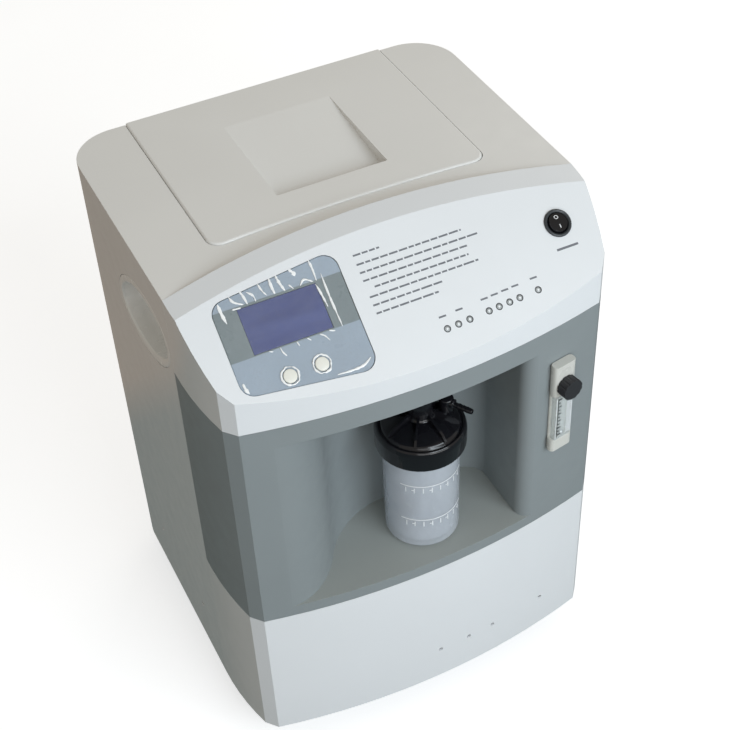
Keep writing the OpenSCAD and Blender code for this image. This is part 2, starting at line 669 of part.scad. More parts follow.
// Two crankcases with the feet that stand on the rubber mounts
module compressor_crankcases() color([0.62, 0.63, 0.64]) for (s = [0, 1]) {
    x0 = s == 0 ? motor_x[0] - 34 : motor_x[1];
    difference() {
        union() {
            along_x(rounded([[shaft_y - 50, 92], [shaft_y + 50, 92], [shaft_y + 44, 196],
                [shaft_y - 44, 196]], 10), x0, x0 + 34);
            block([x0, shaft_y - 62, 88], [x0 + 34, shaft_y + 62, 93]);
        }
        shaft_line(x0 - 1, x0 + 60, 6 + run_gap);
        shaft_line(s == 0 ? x0 - 1 : x0 + 10, s == 0 ? x0 + 24 : x0 + 35, 30);
    }
}

module compressor_heads() color([0.70, 0.71, 0.72]) for (s = [0, 1]) {
    x0 = (s == 0 ? motor_x[0] - 17 : motor_x[1] + 17);
    for (y = [-22, 22]) translate([x0, shaft_y + y, 0]) {
        cylinder_at(16, 196.2, 220);
        for (i = [0:2]) cylinder_at(19, 200 + 6 * i, 202.5 + 6 * i);
        cylinder_at(20, 218, 226);
    }
}

// Motor shaft with a cooling fan on each end
module compressor_shaft() color(steel) {
    shaft_line(-88, 128, 6);
    for (x = [-86, 116]) {
        shaft_line(x, x + 10, 14);
        for (a = [0:45:315]) translate([x + 1, shaft_y, shaft_z]) rotate([a, 0, 0])
            block([0, 12, -1], [8, 42, 1]);
    }
}

module isolation_mounts() color([0.16, 0.16, 0.16])
    for (x = [motor_x[0] - 17, motor_x[1] + 17], y = [-54, 54]) translate([x, shaft_y + y, 0]) {
        cylinder_at(8, floor_z + 0.2, 87.8);
        cylinder_at(10, floor_z + 0.2, 72);
        cylinder_at(10, 80, 87.8);
    }

// Sheet-metal sound box over the compressor, open below, with the fan's opening in its top
module compressor_box() color([0.66, 0.67, 0.68]) difference() {
    block([box_x[0], box_y[0], floor_z + 0.3], [box_x[1], box_y[1], box_top_z]);
    block([box_x[0] + 2, box_y[0] + 2, 0], [box_x[1] - 2, box_y[1] - 2, box_top_z - 2]);
    translate([fan_at[0], fan_at[1], 0]) cylinder(r = 56, h = 400, $fn = 96);
    translate([box_x[0] - 5, 40, 180]) rotate([0, 90, 0]) cylinder(r = 8, h = 20, $fn = 32);
    translate([box_x[1] - 5, 40, 180]) rotate([0, 90, 0]) cylinder(r = 8, h = 20, $fn = 32);
}

module fan_housing() color(dark) translate([fan_at[0], fan_at[1], 0]) difference() {
    union() {
        difference() {
            column(rounded([[-60, -60], [60, -60], [60, 60], [-60, 60]], 8), box_top_z + 0.2, fan_z + 22);
            cylinder_at(57, 0, 400);
        }
        for (a = [45:90:315]) rotate([0, 0, a]) translate([10, -3, box_top_z + 0.2]) cube([50, 6, 3]);
        cylinder_at(20, box_top_z + 0.2, box_top_z + 3.2);
    }
    cylinder_at(3 + run_gap, 0, 400);
    for (x = [-52.5, 52.5], y = [-52.5, 52.5]) translate([x, y, 0]) cylinder(r = 2.2, h = 400, $fn = 24);
}

module fan_rotor() color([0.2, 0.2, 0.21]) translate([fan_at[0], fan_at[1], 0]) {
    cylinder_at(20, fan_z + 1.5, fan_z + 20);
    cylinder_at(3, box_top_z, fan_z + 2);
    for (a = [0:360 / 7:359]) rotate([0, 0, a]) translate([36, 0, fan_z + 11]) rotate([35, 0, 0])
        cube([36, 22, 1.8], center = true);
}

// Tube coil that cools the compressed air
module cooling_coil() color([0.75, 0.48, 0.30]) translate([fan_at[0], fan_at[1], fan_z + 30])
    sweep([for (a = [0:20:360 * coil_turns]) [coil_r * cos(a), coil_r * sin(a), coil_pitch * a / 360]], 5);

// ---- air separation ----
module sieve_tubes() color([0.78, 0.79, 0.80]) for (x = sieve_x) translate([x, sieve_y, 0]) difference() {
    cylinder_at(33, 78, sieve_top_z - 8);
    cylinder_at(31, 70, sieve_top_z);
}

module sieve_caps() color([0.55, 0.56, 0.58]) for (x = sieve_x) translate([x, sieve_y, 0]) {
    cylinder_at(36, floor_z + 0.3, 77.8);
    cylinder_at(30.8, 77, 84);
    cylinder_at(36, sieve_top_z - 7.8, sieve_top_z);
    cylinder_at(30.8, sieve_top_z - 14, sieve_top_z - 7);
    for (a = [45:90:315]) rotate([0, 0, a]) translate([34.7, 0, 78])
        cylinder(r = 1.2, h = sieve_top_z - 86, $fn = 16);
}

module valve_manifold() color([0.72, 0.73, 0.75]) difference() {
    block([-152, 92, sieve_top_z + 0.3], [-4, 128, 356]);
    for (x = sieve_x) translate([x, 103, 356 - 6]) cylinder(r = 6, h = 10, $fn = 32);
}

module solenoid_coils() color([0.15, 0.16, 0.30]) for (x = sieve_x) translate([x, 103, 0]) {
    cylinder_at(5.9, 350.2, 357);
    cylinder_at(12.5, 356.3, 396);
}

module oxygen_tank() color([0.82, 0.83, 0.84]) translate([tank_at[0], tank_at[1], 0])
    rotate_extrude($fn = 72) polygon([[0, floor_z + 0.3], [20, floor_z + 0.3], [30, 72], [35, 84], [35, 268],
        [30, 280], [14, 286], [7, 287], [7, 296], [0, 296]]);

module pressure_regulator() color([0.78, 0.62, 0.30]) translate([tank_at[0], tank_at[1], 0]) {
    cylinder_at(13, 296.3, 318);
    cylinder_at(9, 318, 332);
    translate([0, 0, 307]) rotate([90, 0, 0]) cylinder(r = 4, h = 34, $fn = 32);
}

module intake_housing() color([0.20, 0.21, 0.22]) {
    difference() {
        block([door_at[0] - 43.5, rear_y - 42, door_at[1] - 33.5],
            [door_at[0] + 43.5, rear_y - 4.5, door_at[1] + 33.5]);
        block([door_at[0] - 41.5, rear_y - 40, door_at[1] - 31.5],
            [door_at[0] + 41.5, rear_y, door_at[1] + 31.5]);
        translate([door_at[0] + 20, rear_y - 60, door_at[1] - 10]) rotate([-90, 0, 0])
            cylinder(r = 6, h = 30, $fn = 32);
    }
    translate([door_at[0] + 20, rear_y - 54, door_at[1] - 10]) rotate([-90, 0, 0]) difference() {
        cylinder(r = 8, h = 13, $fn = 32);
        translate([0, 0, -1]) cylinder(r = 6, h = 30, $fn = 32);
    }
}

module intake_filter() color([0.28, 0.29, 0.30])
    block([door_at[0] - 41, rear_y - 22, door_at[1] - 31], [door_at[0] + 41, rear_y - 8, door_at[1] + 31]);

module filter_door() color(white) difference() {
    union() {
        block([door_at[0] - 43.6, rear_y - 3, door_at[1] - 33.6],
            [door_at[0] + 43.6, rear_y, door_at[1] + 33.6]);
        for (x = [-38, 30]) block([door_at[0] + x, rear_y - 7, door_at[1] - 30],
            [door_at[0] + x + 8, rear_y - 2, door_at[1] - 28]);
    }
    for (i = [-3:3]) translate([door_at[0] - 34, rear_y - 5, door_at[1] + 8.4 * i - 2]) cube([68, 10, 4]);
}

// Low-pressure hose from the filter, and the hose from the compressor to the coil
module air_hoses() color([0.15, 0.15, 0.16]) {
    x = door_at[0] + 20;
    z = door_at[1] - 10;
    sweep(smooth([[x, rear_y - 55, z], [x, 95, z - 2], [x, 70, 340], [-90, 60, 290], [-134, 40, 230],
        [-140, 40, 190], [-126, 40, 180], [box_x[0] - 0.3, 40, 180]]), 7);
    sweep(smooth([[box_x[1] + 0.3, 40, 180], [160, 40, 183], [168, 38, 220], [150, 30, 262], [110, 12, 275],
        [82, 12, 275]]), 6);
}

// Lines from the regulator to the flow meter, and from the flow meter to the outlet over the bay
module oxygen_tubes() color([0.85, 0.87, 0.86]) {
    sweep(smooth([[tank_at[0], tank_at[1] - 34.8, 307], [tank_at[0], tank_at[1] - 40, 307],
        [tank_at[0], tank_at[1] - 46, 308], [120, 0, 350], [119, -60, 362], [119, -112, 362],
        [119, -140, 362]]), 3.5);
    sweep(smooth([[119, -140, 304], [118, -120, 305], [110, -84, 326], [80, -66, 400], [40, -70, 432],
        [14, -90, 440], [bottle[0], bottle[1], 432],
        [bottle[0], bottle[1], 424], [bottle[0], bottle[1], 417]]), 3.5);
}

module run_capacitor() color([0.85, 0.85, 0.86]) translate([-150, -30, 0]) {
    cylinder_at(20, floor_z + 0.3, 150);
    for (x = [-6, 6]) block([x - 1.5, -3, 149], [x + 1.5, 3, 158]);
}

// ---- electrical entry ----
module power_inlet() color(dark) translate([inlet_at[0], rear_y, inlet_at[1]]) difference() {
    union() {
        block([-25, -wall - 2.2, -11.5], [25, -wall - 0.2, 11.5]);
        block([-13.5, -28, -10], [13.5, 0, 10]);
    }
    block([-11.5, -17, -8], [11.5, 5, 8]);
    for (x = [-20, 20]) translate([x, -10, 0]) rotate([-90, 0, 0]) cylinder(r = 1.6, h = 20, $fn = 24);
}

module circuit_breaker() color(dark) translate([breaker_at[0], rear_y, breaker_at[1]]) difference() {
    union() {
        rotate([90, 0, 0]) cylinder(r = 6, h = 18, $fn = 48);
        translate([0, -wall - 0.2, 0]) rotate([90, 0, 0]) cylinder(r = 9, h = 16, $fn = 48);
    }
    translate([0, 5, 0]) rotate([90, 0, 0]) cylinder(r = 3.5, h = 15, $fn = 48);
}

module breaker_button() color([0.75, 0.12, 0.10]) translate([breaker_at[0], rear_y - 0.8, breaker_at[1]])
    rotate([90, 0, 0]) cylinder(r = 3.3, h = 8.5, $fn = 32);

// Heads sunk just below the covers' faces
module screw(r, len) {
    translate([0, 0, -len]) cylinder(r = 1.5, h = len, $fn = 16);
    translate([0, 0, -1]) cylinder(r = r, h = 1, $fn = 24);
}

module cover_screws() color(steel) {
    for (x = front_screw_x) translate([x, front_bow_y(x) + 1.4, front_screw_z])
        rotate([90, 0, 0]) screw(2, 7);
    for (s = [-1, 1], y = side_screw_y) translate([s * (side_x - 0.4), y, side_screw_z])
        rotate([0, s * 90, 0]) screw(2, 7);
    for (x = rear_screw_x, z = rear_screw_z) translate([x, rear_y - 0.4, z]) rotate([-90, 0, 0]) screw(2, 7);
}

base_plate();
rear_casing();
front_cover();
bay_panel();
lower_cover();
storage_tray();
top_lid();
lid_hinge_pins();
grip_left();
grip_right();
display_window();
display_module();
button_left();
button_right();
indicator_lights();
switch_housing();
switch_rocker();
control_board();
flow_meter_body();
flow_meter_tube();
flow_float();
flow_knob();
outlet_stub();
humidifier_cap();
humidifier_nut();
humidifier_jar();
diffuser_tube();
compressor_motor();
compressor_crankcases();
compressor_heads();
compressor_shaft();
isolation_mounts();
compressor_box();
fan_housing();
fan_rotor();
cooling_coil();
sieve_tubes();
sieve_caps();
valve_manifold();
solenoid_coils();
oxygen_tank();
pressure_regulator();
intake_housing();
intake_filter();
filter_door();
air_hoses();
oxygen_tubes();
run_capacitor();
power_inlet();
circuit_breaker();
breaker_button();
cover_screws();
caster_fork_1();
caster_fork_2();
caster_fork_3();
caster_fork_4();
caster_wheel_1();
caster_wheel_2();
caster_wheel_3();
caster_wheel_4();
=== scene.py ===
"""Looks of the oxygen concentrator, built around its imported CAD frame. Metres; +Z up, -Y the front."""

import math

import bmesh
import bpy
from mathutils import Matrix, Vector, noise


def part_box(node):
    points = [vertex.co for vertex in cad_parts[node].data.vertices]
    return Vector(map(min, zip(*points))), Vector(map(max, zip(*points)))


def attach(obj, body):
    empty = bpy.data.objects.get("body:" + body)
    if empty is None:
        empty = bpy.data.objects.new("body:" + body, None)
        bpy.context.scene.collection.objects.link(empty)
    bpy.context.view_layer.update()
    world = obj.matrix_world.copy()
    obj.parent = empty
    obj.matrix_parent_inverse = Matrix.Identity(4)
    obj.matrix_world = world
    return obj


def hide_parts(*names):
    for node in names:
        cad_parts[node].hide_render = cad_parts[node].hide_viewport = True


MM = 0.001
LENS = 72.6                        # focal length in mm, for a 36 mm sensor
VIEW = (-24.34, 42.63, -3.06)      # azimuth, elevation and roll of the camera in degrees
EYE = (-399.6, -913.3, 1219.3)     # place of the camera in mm

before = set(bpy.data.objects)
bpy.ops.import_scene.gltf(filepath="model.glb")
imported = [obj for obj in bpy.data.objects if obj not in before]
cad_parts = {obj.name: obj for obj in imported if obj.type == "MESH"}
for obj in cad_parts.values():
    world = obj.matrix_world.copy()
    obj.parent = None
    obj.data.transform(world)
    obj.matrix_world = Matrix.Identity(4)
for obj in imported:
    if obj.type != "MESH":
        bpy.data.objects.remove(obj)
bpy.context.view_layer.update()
scene = bpy.context.scene
scene.view_settings.view_transform = "Standard"


# ---------------------------------------------------------------- camera and light
def frame_axes(az, el, roll):
    """Right, up and back of a camera that looks from azimuth az and elevation el, in degrees."""
    az, el, roll = (math.radians(v) for v in (az, el, roll))
    back = Vector((math.sin(az) * math.cos(el), -math.cos(az) * math.cos(el), math.sin(el)))
    right = (-back).cross(Vector((0, 0, 1))).normalized()
    up = right.cross(-back)
    c, s = math.cos(roll), math.sin(roll)
    return c * right + s * up, c * up - s * right, back


def make_camera():
    data = bpy.data.cameras.new("camera")
    data.sensor_width = 36
    data.lens = LENS
    cam = bpy.data.objects.new("camera", data)
    scene.collection.objects.link(cam)
    axes = Matrix(frame_axes(*VIEW)).transposed()
    cam.matrix_world = Matrix.Translation(Vector(EYE) * MM) @ axes.to_4x4()
    scene.camera = cam


def area_light(name, place, aim, size, power, colour):
    """Rectangular lamp at place, in metres, turned to aim; power in watts."""
    data = bpy.data.lights.new(name, "AREA")
    data.shape = "RECTANGLE"
    data.size, data.size_y = size
    data.energy = power
    data.color = colour
    lamp = bpy.data.objects.new(name, data)
    lamp.location = place
    lamp.rotation_euler = (Vector(aim) - Vector(place)).to_track_quat("-Z", "Y").to_euler()
    scene.collection.objects.link(lamp)


make_camera()
area_light("key", (0.6, -2.2, 1.7), (0, 0, 0.35), (1.7, 1.3), 41, (0.82, 0.92, 1.0))
area_light("fill", (-0.5, -2.1, 0.75), (0, 0, 0.3), (1.5, 0.8), 6.5, (0.95, 0.97, 1.0))
area_light("bay", (0.15, -0.75, 0.36), (0.03, -0.1, 0.26), (0.5, 0.12), 0.55, (0.95, 0.98, 1.0))
area_light("rim", (1.6, 1.4, 1.5), (0, 0, 0.35), (1.2, 1.2), 6, (1.0, 0.97, 0.93))


# ---------------------------------------------------------------- materials
def new_material(name):
    m = bpy.data.materials.new(name)
    m.use_nodes = True
    tree = m.node_tree
    return m, tree, tree.nodes["Principled BSDF"]


def add(tree, kind, **values):
    n = tree.nodes.new(kind)
    for key, value in values.items():
        setattr(n, key, value)
    return n


def noise_at(tree, scale, detail=2.0, stretch=None):
    """Noise in the object's own coordinates, with scale in cycles a metre."""
    where = add(tree, "ShaderNodeTexCoord").outputs["Object"]
    if stretch:
        mapping = add(tree, "ShaderNodeMapping")
        mapping.inputs["Scale"].default_value = stretch
        tree.links.new(where, mapping.inputs["Vector"])
        where = mapping.outputs["Vector"]
    n = add(tree, "ShaderNodeTexNoise")
    n.inputs["Scale"].default_value = scale
    n.inputs["Detail"].default_value = detail
    tree.links.new(where, n.inputs["Vector"])
    return n.outputs["Fac"]


def spread(tree, value, low, high):
    """Stretches the middle of a noise value to run from low to high."""
    n = add(tree, "ShaderNodeMapRange")
    n.inputs["From Min"].default_value = 0.3
    n.inputs["From Max"].default_value = 0.7
    n.inputs["To Min"].default_value = low
    n.inputs["To Max"].default_value = high
    tree.links.new(value, n.inputs["Value"])
    return n.outputs["Result"]


def mixed(tree, factor, a, b):
    n = add(tree, "ShaderNodeMix", data_type="RGBA")
    n.inputs["A"].default_value = (*a, 1)
    n.inputs["B"].default_value = (*b, 1)
    tree.links.new(factor, n.inputs["Factor"])
    return n.outputs["Result"]


def moulded(name, colour, rough=0.35, change=0.04, grain=900, bump=0.08, metal=0.0, **sockets):
    """Moulded or cast surface: faint colour drift, uneven gloss and a fine grain."""
    m, tree, shader = new_material(name)
    drift = spread(tree, noise_at(tree, 9, 3), 0, 1)
    low = tuple(c * (1 - change) for c in colour)
    high = tuple(min(1, c * (1 + change)) for c in colour)
    tree.links.new(mixed(tree, drift, low, high), shader.inputs["Base Color"])
    gloss = spread(tree, noise_at(tree, 60, 2), rough * 0.85, min(1, rough * 1.15))
    tree.links.new(gloss, shader.inputs["Roughness"])
    fine = add(tree, "ShaderNodeBump")
    fine.inputs["Strength"].default_value = bump
    fine.inputs["Distance"].default_value = 0.0002
    tree.links.new(noise_at(tree, grain, 2), fine.inputs["Height"])
    tree.links.new(fine.outputs["Normal"], shader.inputs["Normal"])
    shader.inputs["Metallic"].default_value = metal
    for key, value in sockets.items():
        shader.inputs[key.replace("_", " ")].default_value = value
    return m


WHITE = moulded("white_shell", (0.76, 0.78, 0.80), 0.34, 0.010, 700, 0.03)
# Lighter, warmer copy of the white plastic for top faces: painted warm light on top, partly also the
# casing's own warmer tone.
TOP_WARM_LIT = moulded("casing_top_painted_warm_light", (0.80, 0.795, 0.775), 0.42, 0.012, 700, 0.03)
# Darker copy of the white plastic for the side faces: painted shade on the sides.
SIDE_SHADED = moulded("casing_side_painted_shade", (0.70, 0.70, 0.69), 0.22, 0.015, 700, 0.03)
# Brighter copy of the white plastic for the grip cups: painted light inside the cups.
CUP_LIT = moulded("grip_white", (0.80, 0.80, 0.78), 0.25, 0.02, 700, 0.03)
GREY = moulded("grey_panel", (0.245, 0.274, 0.282), 0.50, 0.02, 900, 0.04, Specular_IOR_Level=0.3)
# Lighter copy of the bay panel's grey for its upward faces: painted light on the shelf.
SHELF_LIT = moulded("shelf_grey_painted_light", (0.33, 0.35, 0.335), 0.5, 0.02, 900, 0.04)
TRAY = moulded("grey_tray", (0.36, 0.38, 0.39), 0.5, 0.03, 1200, 0.10)
BLACK = moulded("black_gloss", (0.006, 0.006, 0.008), 0.13, 0.2, 300, 0.02)
RIM = moulded("switch_rim", (0.035, 0.04, 0.045), 0.32, 0.1, 700, 0.05)
DULL = moulded("black_matte", (0.022, 0.022, 0.025), 0.5, 0.15, 1500, 0.12)
IVORY = moulded("ivory_key", (0.80, 0.79, 0.72), 0.28, 0.02, 900, 0.04)
LAMP = moulded("lamp_grey", (0.42, 0.44, 0.44), 0.2, 0.05, 900, 0.03)
RING = moulded("lamp_ring", (0.07, 0.075, 0.08), 0.4, 0.05, 900, 0.03)
METER = moulded("meter_grey", (0.62, 0.62, 0.58), 0.3, 0.03, 900, 0.04)
STEEL = moulded("zinc_steel", (0.55, 0.56, 0.57), 0.35, 0.06, 400, 0.08, 1.0)
PIN = moulded("pin_steel", (0.60, 0.60, 0.62), 0.25, 0.05, 900, 0.05, 1.0)
ALLOY = moulded("cast_alloy", (0.62, 0.63, 0.64), 0.5, 0.06, 700, 0.25, 1.0)
MOTOR = moulded("motor_paint", (0.05, 0.055, 0.06), 0.4, 0.1, 900, 0.15)
COPPER = moulded("copper", (0.72, 0.36, 0.20), 0.3, 0.08, 500, 0.06, 1.0)
BRASS = moulded("brass", (0.72, 0.54, 0.25), 0.3, 0.06, 500, 0.05, 1.0)
RUBBER = moulded("rubber", (0.035, 0.035, 0.037), 0.65, 0.1, 1300, 0.2)
TYRE = moulded("wheel_rubber", (0.05, 0.05, 0.055), 0.6, 0.1, 1000, 0.15)
HUB = moulded("wheel_hub", (0.30, 0.31, 0.32), 0.4, 0.05, 900, 0.08)
TANK = moulded("tank_plastic", (0.62, 0.64, 0.66), 0.4, 0.03, 600, 0.1)
COIL = moulded("coil_plastic", (0.03, 0.035, 0.09), 0.45, 0.1, 900, 0.1)
BOARD = moulded("board_green", (0.02, 0.15, 0.07), 0.35, 0.1, 600, 0.06)
SILICONE = moulded("silicone", (0.62, 0.64, 0.62), 0.35, 0.03, 500, 0.05)
RED = moulded("red_key", (0.45, 0.02, 0.02), 0.3, 0.05, 900, 0.03)
PRINT = moulded("print_grey", (0.16, 0.17, 0.19), 0.5, 0.1, 2500, 0.02)
TICK = moulded("print_black", (0.02, 0.02, 0.022), 0.5, 0.1, 2500, 0.02)
# White for printed marks, also used for the painted glints on the lamp lenses.
MARK_AND_GLINT = moulded("mark_white_and_glint", (0.80, 0.82, 0.84), 0.4, 0.03, 2000, 0.02)
# Near-white for the film's creases: real ridges, their whiteness a painted highlight along each crease.
FOLD_HIGHLIGHT = moulded("film_fold_highlight", (0.90, 0.91, 0.91), 0.12, 0.03, 300, 0.03)


def see_through(name, colour, alpha, rough, change, scale, bump):
    """Clear or milky plastic: lets light by, with slow drift in how much."""
    m = moulded(name, colour, rough, change, scale, bump)
    tree = m.node_tree
    shader = tree.nodes["Principled BSDF"]
    haze = spread(tree, noise_at(tree, 30, 3), alpha * 0.9, min(1, alpha * 1.1))
    tree.links.new(haze, shader.inputs["Alpha"])
    return m


MILKY = see_through("jar_plastic", (0.70, 0.75, 0.82), 0.42, 0.24, 0.03, 250, 0.06)
CLEAR = see_through("clear_plastic", (0.78, 0.84, 0.84), 0.30, 0.05, 0.03, 120, 0.03)
FILM = see_through("film_clear", (0.80, 0.84, 0.88), 0.10, 0.10, 0.05, 140, 0.25)


# ---------------------------------------------------------------- console frame and its materials
TILT = math.radians(37.6)
SLOPE = Vector((0, -math.sin(TILT), math.cos(TILT)))   # out of the console's face
CLIMB = Vector((0, math.cos(TILT), math.sin(TILT)))    # up the console's face
CONSOLE = Vector((0, -148.525, 454.4))                 # where x and the climb are 0, in mm
DISPLAY_CLIMB = 49.8                                   # middle of the display, up the slope in mm


def on_console(x, s, height=0):
    """Frame on the console: x across, s up the slope, local +Z out of it, in mm."""
    place = (CONSOLE + Vector((x, 0, 0)) + CLIMB * s + SLOPE * height) * MM
    return Matrix.Translation(place) @ Matrix.Rotation(TILT, 4, "X")


def window_material():
    """Blue-grey panel with a darker grey-green band level with the display."""
    m = moulded("window_blue", (0.33, 0.40, 0.48), 0.3, 0.06, 700, 0.03)
    tree = m.node_tree
    shader = tree.nodes["Principled BSDF"]
    base = shader.inputs["Base Color"].links[0].from_socket
    where = add(tree, "ShaderNodeTexCoord").outputs["Object"]
    up = add(tree, "ShaderNodeVectorMath", operation="DOT_PRODUCT")
    up.inputs[1].default_value = CLIMB
    tree.links.new(where, up.inputs[0])
    middle = add(tree, "ShaderNodeMath", operation="SUBTRACT")
    middle.inputs[1].default_value = (CONSOLE.dot(CLIMB) + DISPLAY_CLIMB) * MM
    tree.links.new(up.outputs["Value"], middle.inputs[0])
    away = add(tree, "ShaderNodeMath", operation="ABSOLUTE")
    tree.links.new(middle.outputs[0], away.inputs[0])
    band = add(tree, "ShaderNodeMapRange")
    for key, value in (("From Min", 0.0202), ("From Max", 0.0207), ("To Min", 1), ("To Max", 0)):
        band.inputs[key].default_value = value
    tree.links.new(away.outputs[0], band.inputs["Value"])
    n = add(tree, "ShaderNodeMix", data_type="RGBA")
    n.inputs["B"].default_value = (0.185, 0.225, 0.235, 1)
    tree.links.new(band.outputs["Result"], n.inputs["Factor"])
    tree.links.new(base, n.inputs["A"])
    tree.links.new(n.outputs["Result"], shader.inputs["Base Color"])
    return m


def display_material():
    """Dark blue glass with soft streaks along its length."""
    m = moulded("display_glass", (0.06, 0.07, 0.24), 0.16, 0.05, 200, 0.02)
    tree = m.node_tree
    shader = tree.nodes["Principled BSDF"]
    streaks = spread(tree, noise_at(tree, 45, 3, (0.25, 1.6, 1.6)), 0, 1)
    tree.links.new(mixed(tree, streaks, (0.034, 0.046, 0.185), (0.062, 0.082, 0.26)),
                   shader.inputs["Base Color"])
    return m


PANEL = window_material()
LCD = display_material()


# ---------------------------------------------------------------- carried-over pieces
KEPT = {
    STEEL: "base_plate compressor_box caster_fork_1 caster_fork_2 caster_fork_3 caster_fork_4",
    PIN: "lid_hinge_pins cover_screws compressor_shaft flow_float",
    TRAY: "storage_tray", LCD: "display_module", LAMP: "indicator_lights",
    BOARD: "control_board", METER: "flow_meter_body", CLEAR: "flow_meter_tube",
    BLACK: "flow_knob outlet_stub humidifier_cap humidifier_nut switch_housing switch_rocker",
    MILKY: "humidifier_jar diffuser_tube", MOTOR: "compressor_motor",
    ALLOY: "compressor_crankcases compressor_heads sieve_tubes sieve_caps valve_manifold",
    RUBBER: "isolation_mounts air_hoses", COPPER: "cooling_coil", COIL: "solenoid_coils",
    DULL: "fan_housing fan_rotor intake_housing intake_filter power_inlet circuit_breaker",
    TANK: "oxygen_tank run_capacitor", BRASS: "pressure_regulator",
    SILICONE: "oxygen_tubes", RED: "breaker_button", IVORY: "button_left button_right",
    TYRE: "caster_wheel_1 caster_wheel_2 caster_wheel_3 caster_wheel_4",
    WHITE: "front_cover lower_cover top_lid filter_door grip_left grip_right",
    TOP_WARM_LIT: "rear_casing", GREY: "bay_panel", PANEL: "display_window",
}
for material, names in KEPT.items():
    for name in names.split():
        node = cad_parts[name]
        node.data.materials.clear()
        node.data.materials.append(material)


# ---------------------------------------------------------------- making pieces
def put(name, bm, material, body="cabinet", replaces=(), sharp=32, weighted=False,
        pick=None):
    """Turns bm, in metres in the row frame, into a piece that rides on a body.

    sharp is the angle of a hard edge in degrees, and pick gives a face's place in a list of
    materials.
    """
    bmesh.ops.recalc_face_normals(bm, faces=bm.faces)
    if pick:
        bm.normal_update()
        for f in bm.faces:
            f.material_index = pick(f)
    me = bpy.data.meshes.new(name)
    bm.to_mesh(me)
    bm.free()
    for f in me.polygons:
        f.use_smooth = True
    me.set_sharp_from_angle(angle=math.radians(sharp))
    for m in material if isinstance(material, (list, tuple)) else [material]:
        me.materials.append(m)
    ob = bpy.data.objects.new(name, me)
    scene.collection.objects.link(ob)
    if weighted:
        normals_by_area(me)
    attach(ob, body)
    if replaces:
        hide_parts(*replaces)
    return ob


def normals_by_area(me, limit=math.cos(math.radians(50))):
    """Lets large faces shade flat and the rounded edges between them shade smooth."""
    faces = [(f.normal.copy(), f.area) for f in me.polygons]
    around = [[] for _ in me.vertices]
    for f in me.polygons:
        for v in f.vertices:
            around[v].append(faces[f.index])
    normals = [Vector()] * len(me.loops)
    for f in me.polygons:
        for loop in f.loop_indices:
            near = (n * area for n, area in around[me.loops[loop].vertex_index]
                    if n.dot(f.normal) > limit)
            normals[loop] = sum(near, Vector()).normalized()
    me.normals_split_custom_set(normals)


def has(e, *tests):
    """True if the edge's two faces pass the two tests of their normals, in either order."""
    a, b = (f.normal for f in e.link_faces)
    return (tests[0](a) and tests[1](b)) or (tests[0](b) and tests[1](a))


def shell(node, name, material, rounds, body="cabinet", pick=None):
    """Stands for a CAD piece: the same shape with its edges rounded.

    Each row of rounds is a width in mm, its steps, the least angle of an edge in degrees and a
    test of the edge. Empty faces that a bevel leaves are cleared, because they spoil the shading.
    """
    bm = bmesh.new()
    bm.from_mesh(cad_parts[node].data)
    bmesh.ops.remove_doubles(bm, verts=bm.verts, dist=3e-6)
    bmesh.ops.dissolve_limit(bm, angle_limit=math.radians(0.4), verts=bm.verts[:], edges=bm.edges[:])
    for width, steps, least, test in rounds:
        bm.normal_update()
        edges = [e for e in bm.edges if len(e.link_faces) == 2
                 and e.is_convex and e.calc_face_angle(0) > math.radians(least) and test(e)]
        bmesh.ops.bevel(bm, geom=edges, offset=width * MM, offset_type="OFFSET", segments=steps,
                        profile=0.5, affect="EDGES", clamp_overlap=True)
        bmesh.ops.remove_doubles(bm, verts=bm.verts, dist=4e-6)
        bmesh.ops.dissolve_degenerate(bm, edges=bm.edges, dist=2e-6)
    return put(name, bm, material, body, [node], weighted=True, pick=pick)


def mid(e):
    """Middle of an edge, in mm."""
    return (e.verts[0].co + e.verts[1].co) / (2 * MM)


def sloping(n):
    """True for a normal of the console's face."""
    return n.dot(SLOPE) > 0.998


def upright(n):
    return abs(n.z) < 0.2


def level(n):
    return n.z > 0.93


def anything(_):
    return True


def eased(points, n=4):
    """Rounds the corners of a profile: a third number is how far the rounding reaches, in mm."""
    out = []
    for i, p in enumerate(points):
        here = Vector(p[:2])
        reach = p[2] if len(p) > 2 else 0
        if not reach:
            out.append(tuple(here))
            continue
        a, b = Vector(points[i - 1][:2]), Vector(points[(i + 1) % len(points)][:2])
        a, b = here + (a - here).normalized() * reach, here + (b - here).normalized() * reach
        for k in range(n + 1):
            t = k / n
            out.append(tuple(a * (1 - t) ** 2 + here * 2 * t * (1 - t) + b * t * t))
    return out


def lathe(profile, place=Matrix(), steps=64, bm=None, flute=None):
    """Turns (radius, height) points in mm about local Z: from axis to axis, or as a closed loop."""
    bm = bm or bmesh.new()
    rings = []
    for r, z in profile:
        turn = [0] if r == 0 else [2 * math.pi * i / steps for i in range(steps)]
        rings.append([bm.verts.new(place @ (Vector((
            (r + (flute(a, r, z) if flute else 0)) * math.cos(a),
            (r + (flute(a, r, z) if flute else 0)) * math.sin(a), z)) * MM)) for a in turn])
    join_rings(bm, rings, profile[0][0] > 0)
    return bm


def join_rings(bm, rings, closed):
    """Skins a row of rings; a ring of one vertex is a tip."""
    pairs = list(zip(rings, rings[1:])) + ([(rings[-1], rings[0])] if closed else [])
    for a, b in pairs:
        steps = max(len(a), len(b))
        for i in range(steps if steps > 1 else 0):
            j = (i + 1) % steps
            corners = [a[i % len(a)], a[j % len(a)], b[j % len(b)], b[i % len(b)]]
            bm.faces.new(list(dict.fromkeys(corners)))


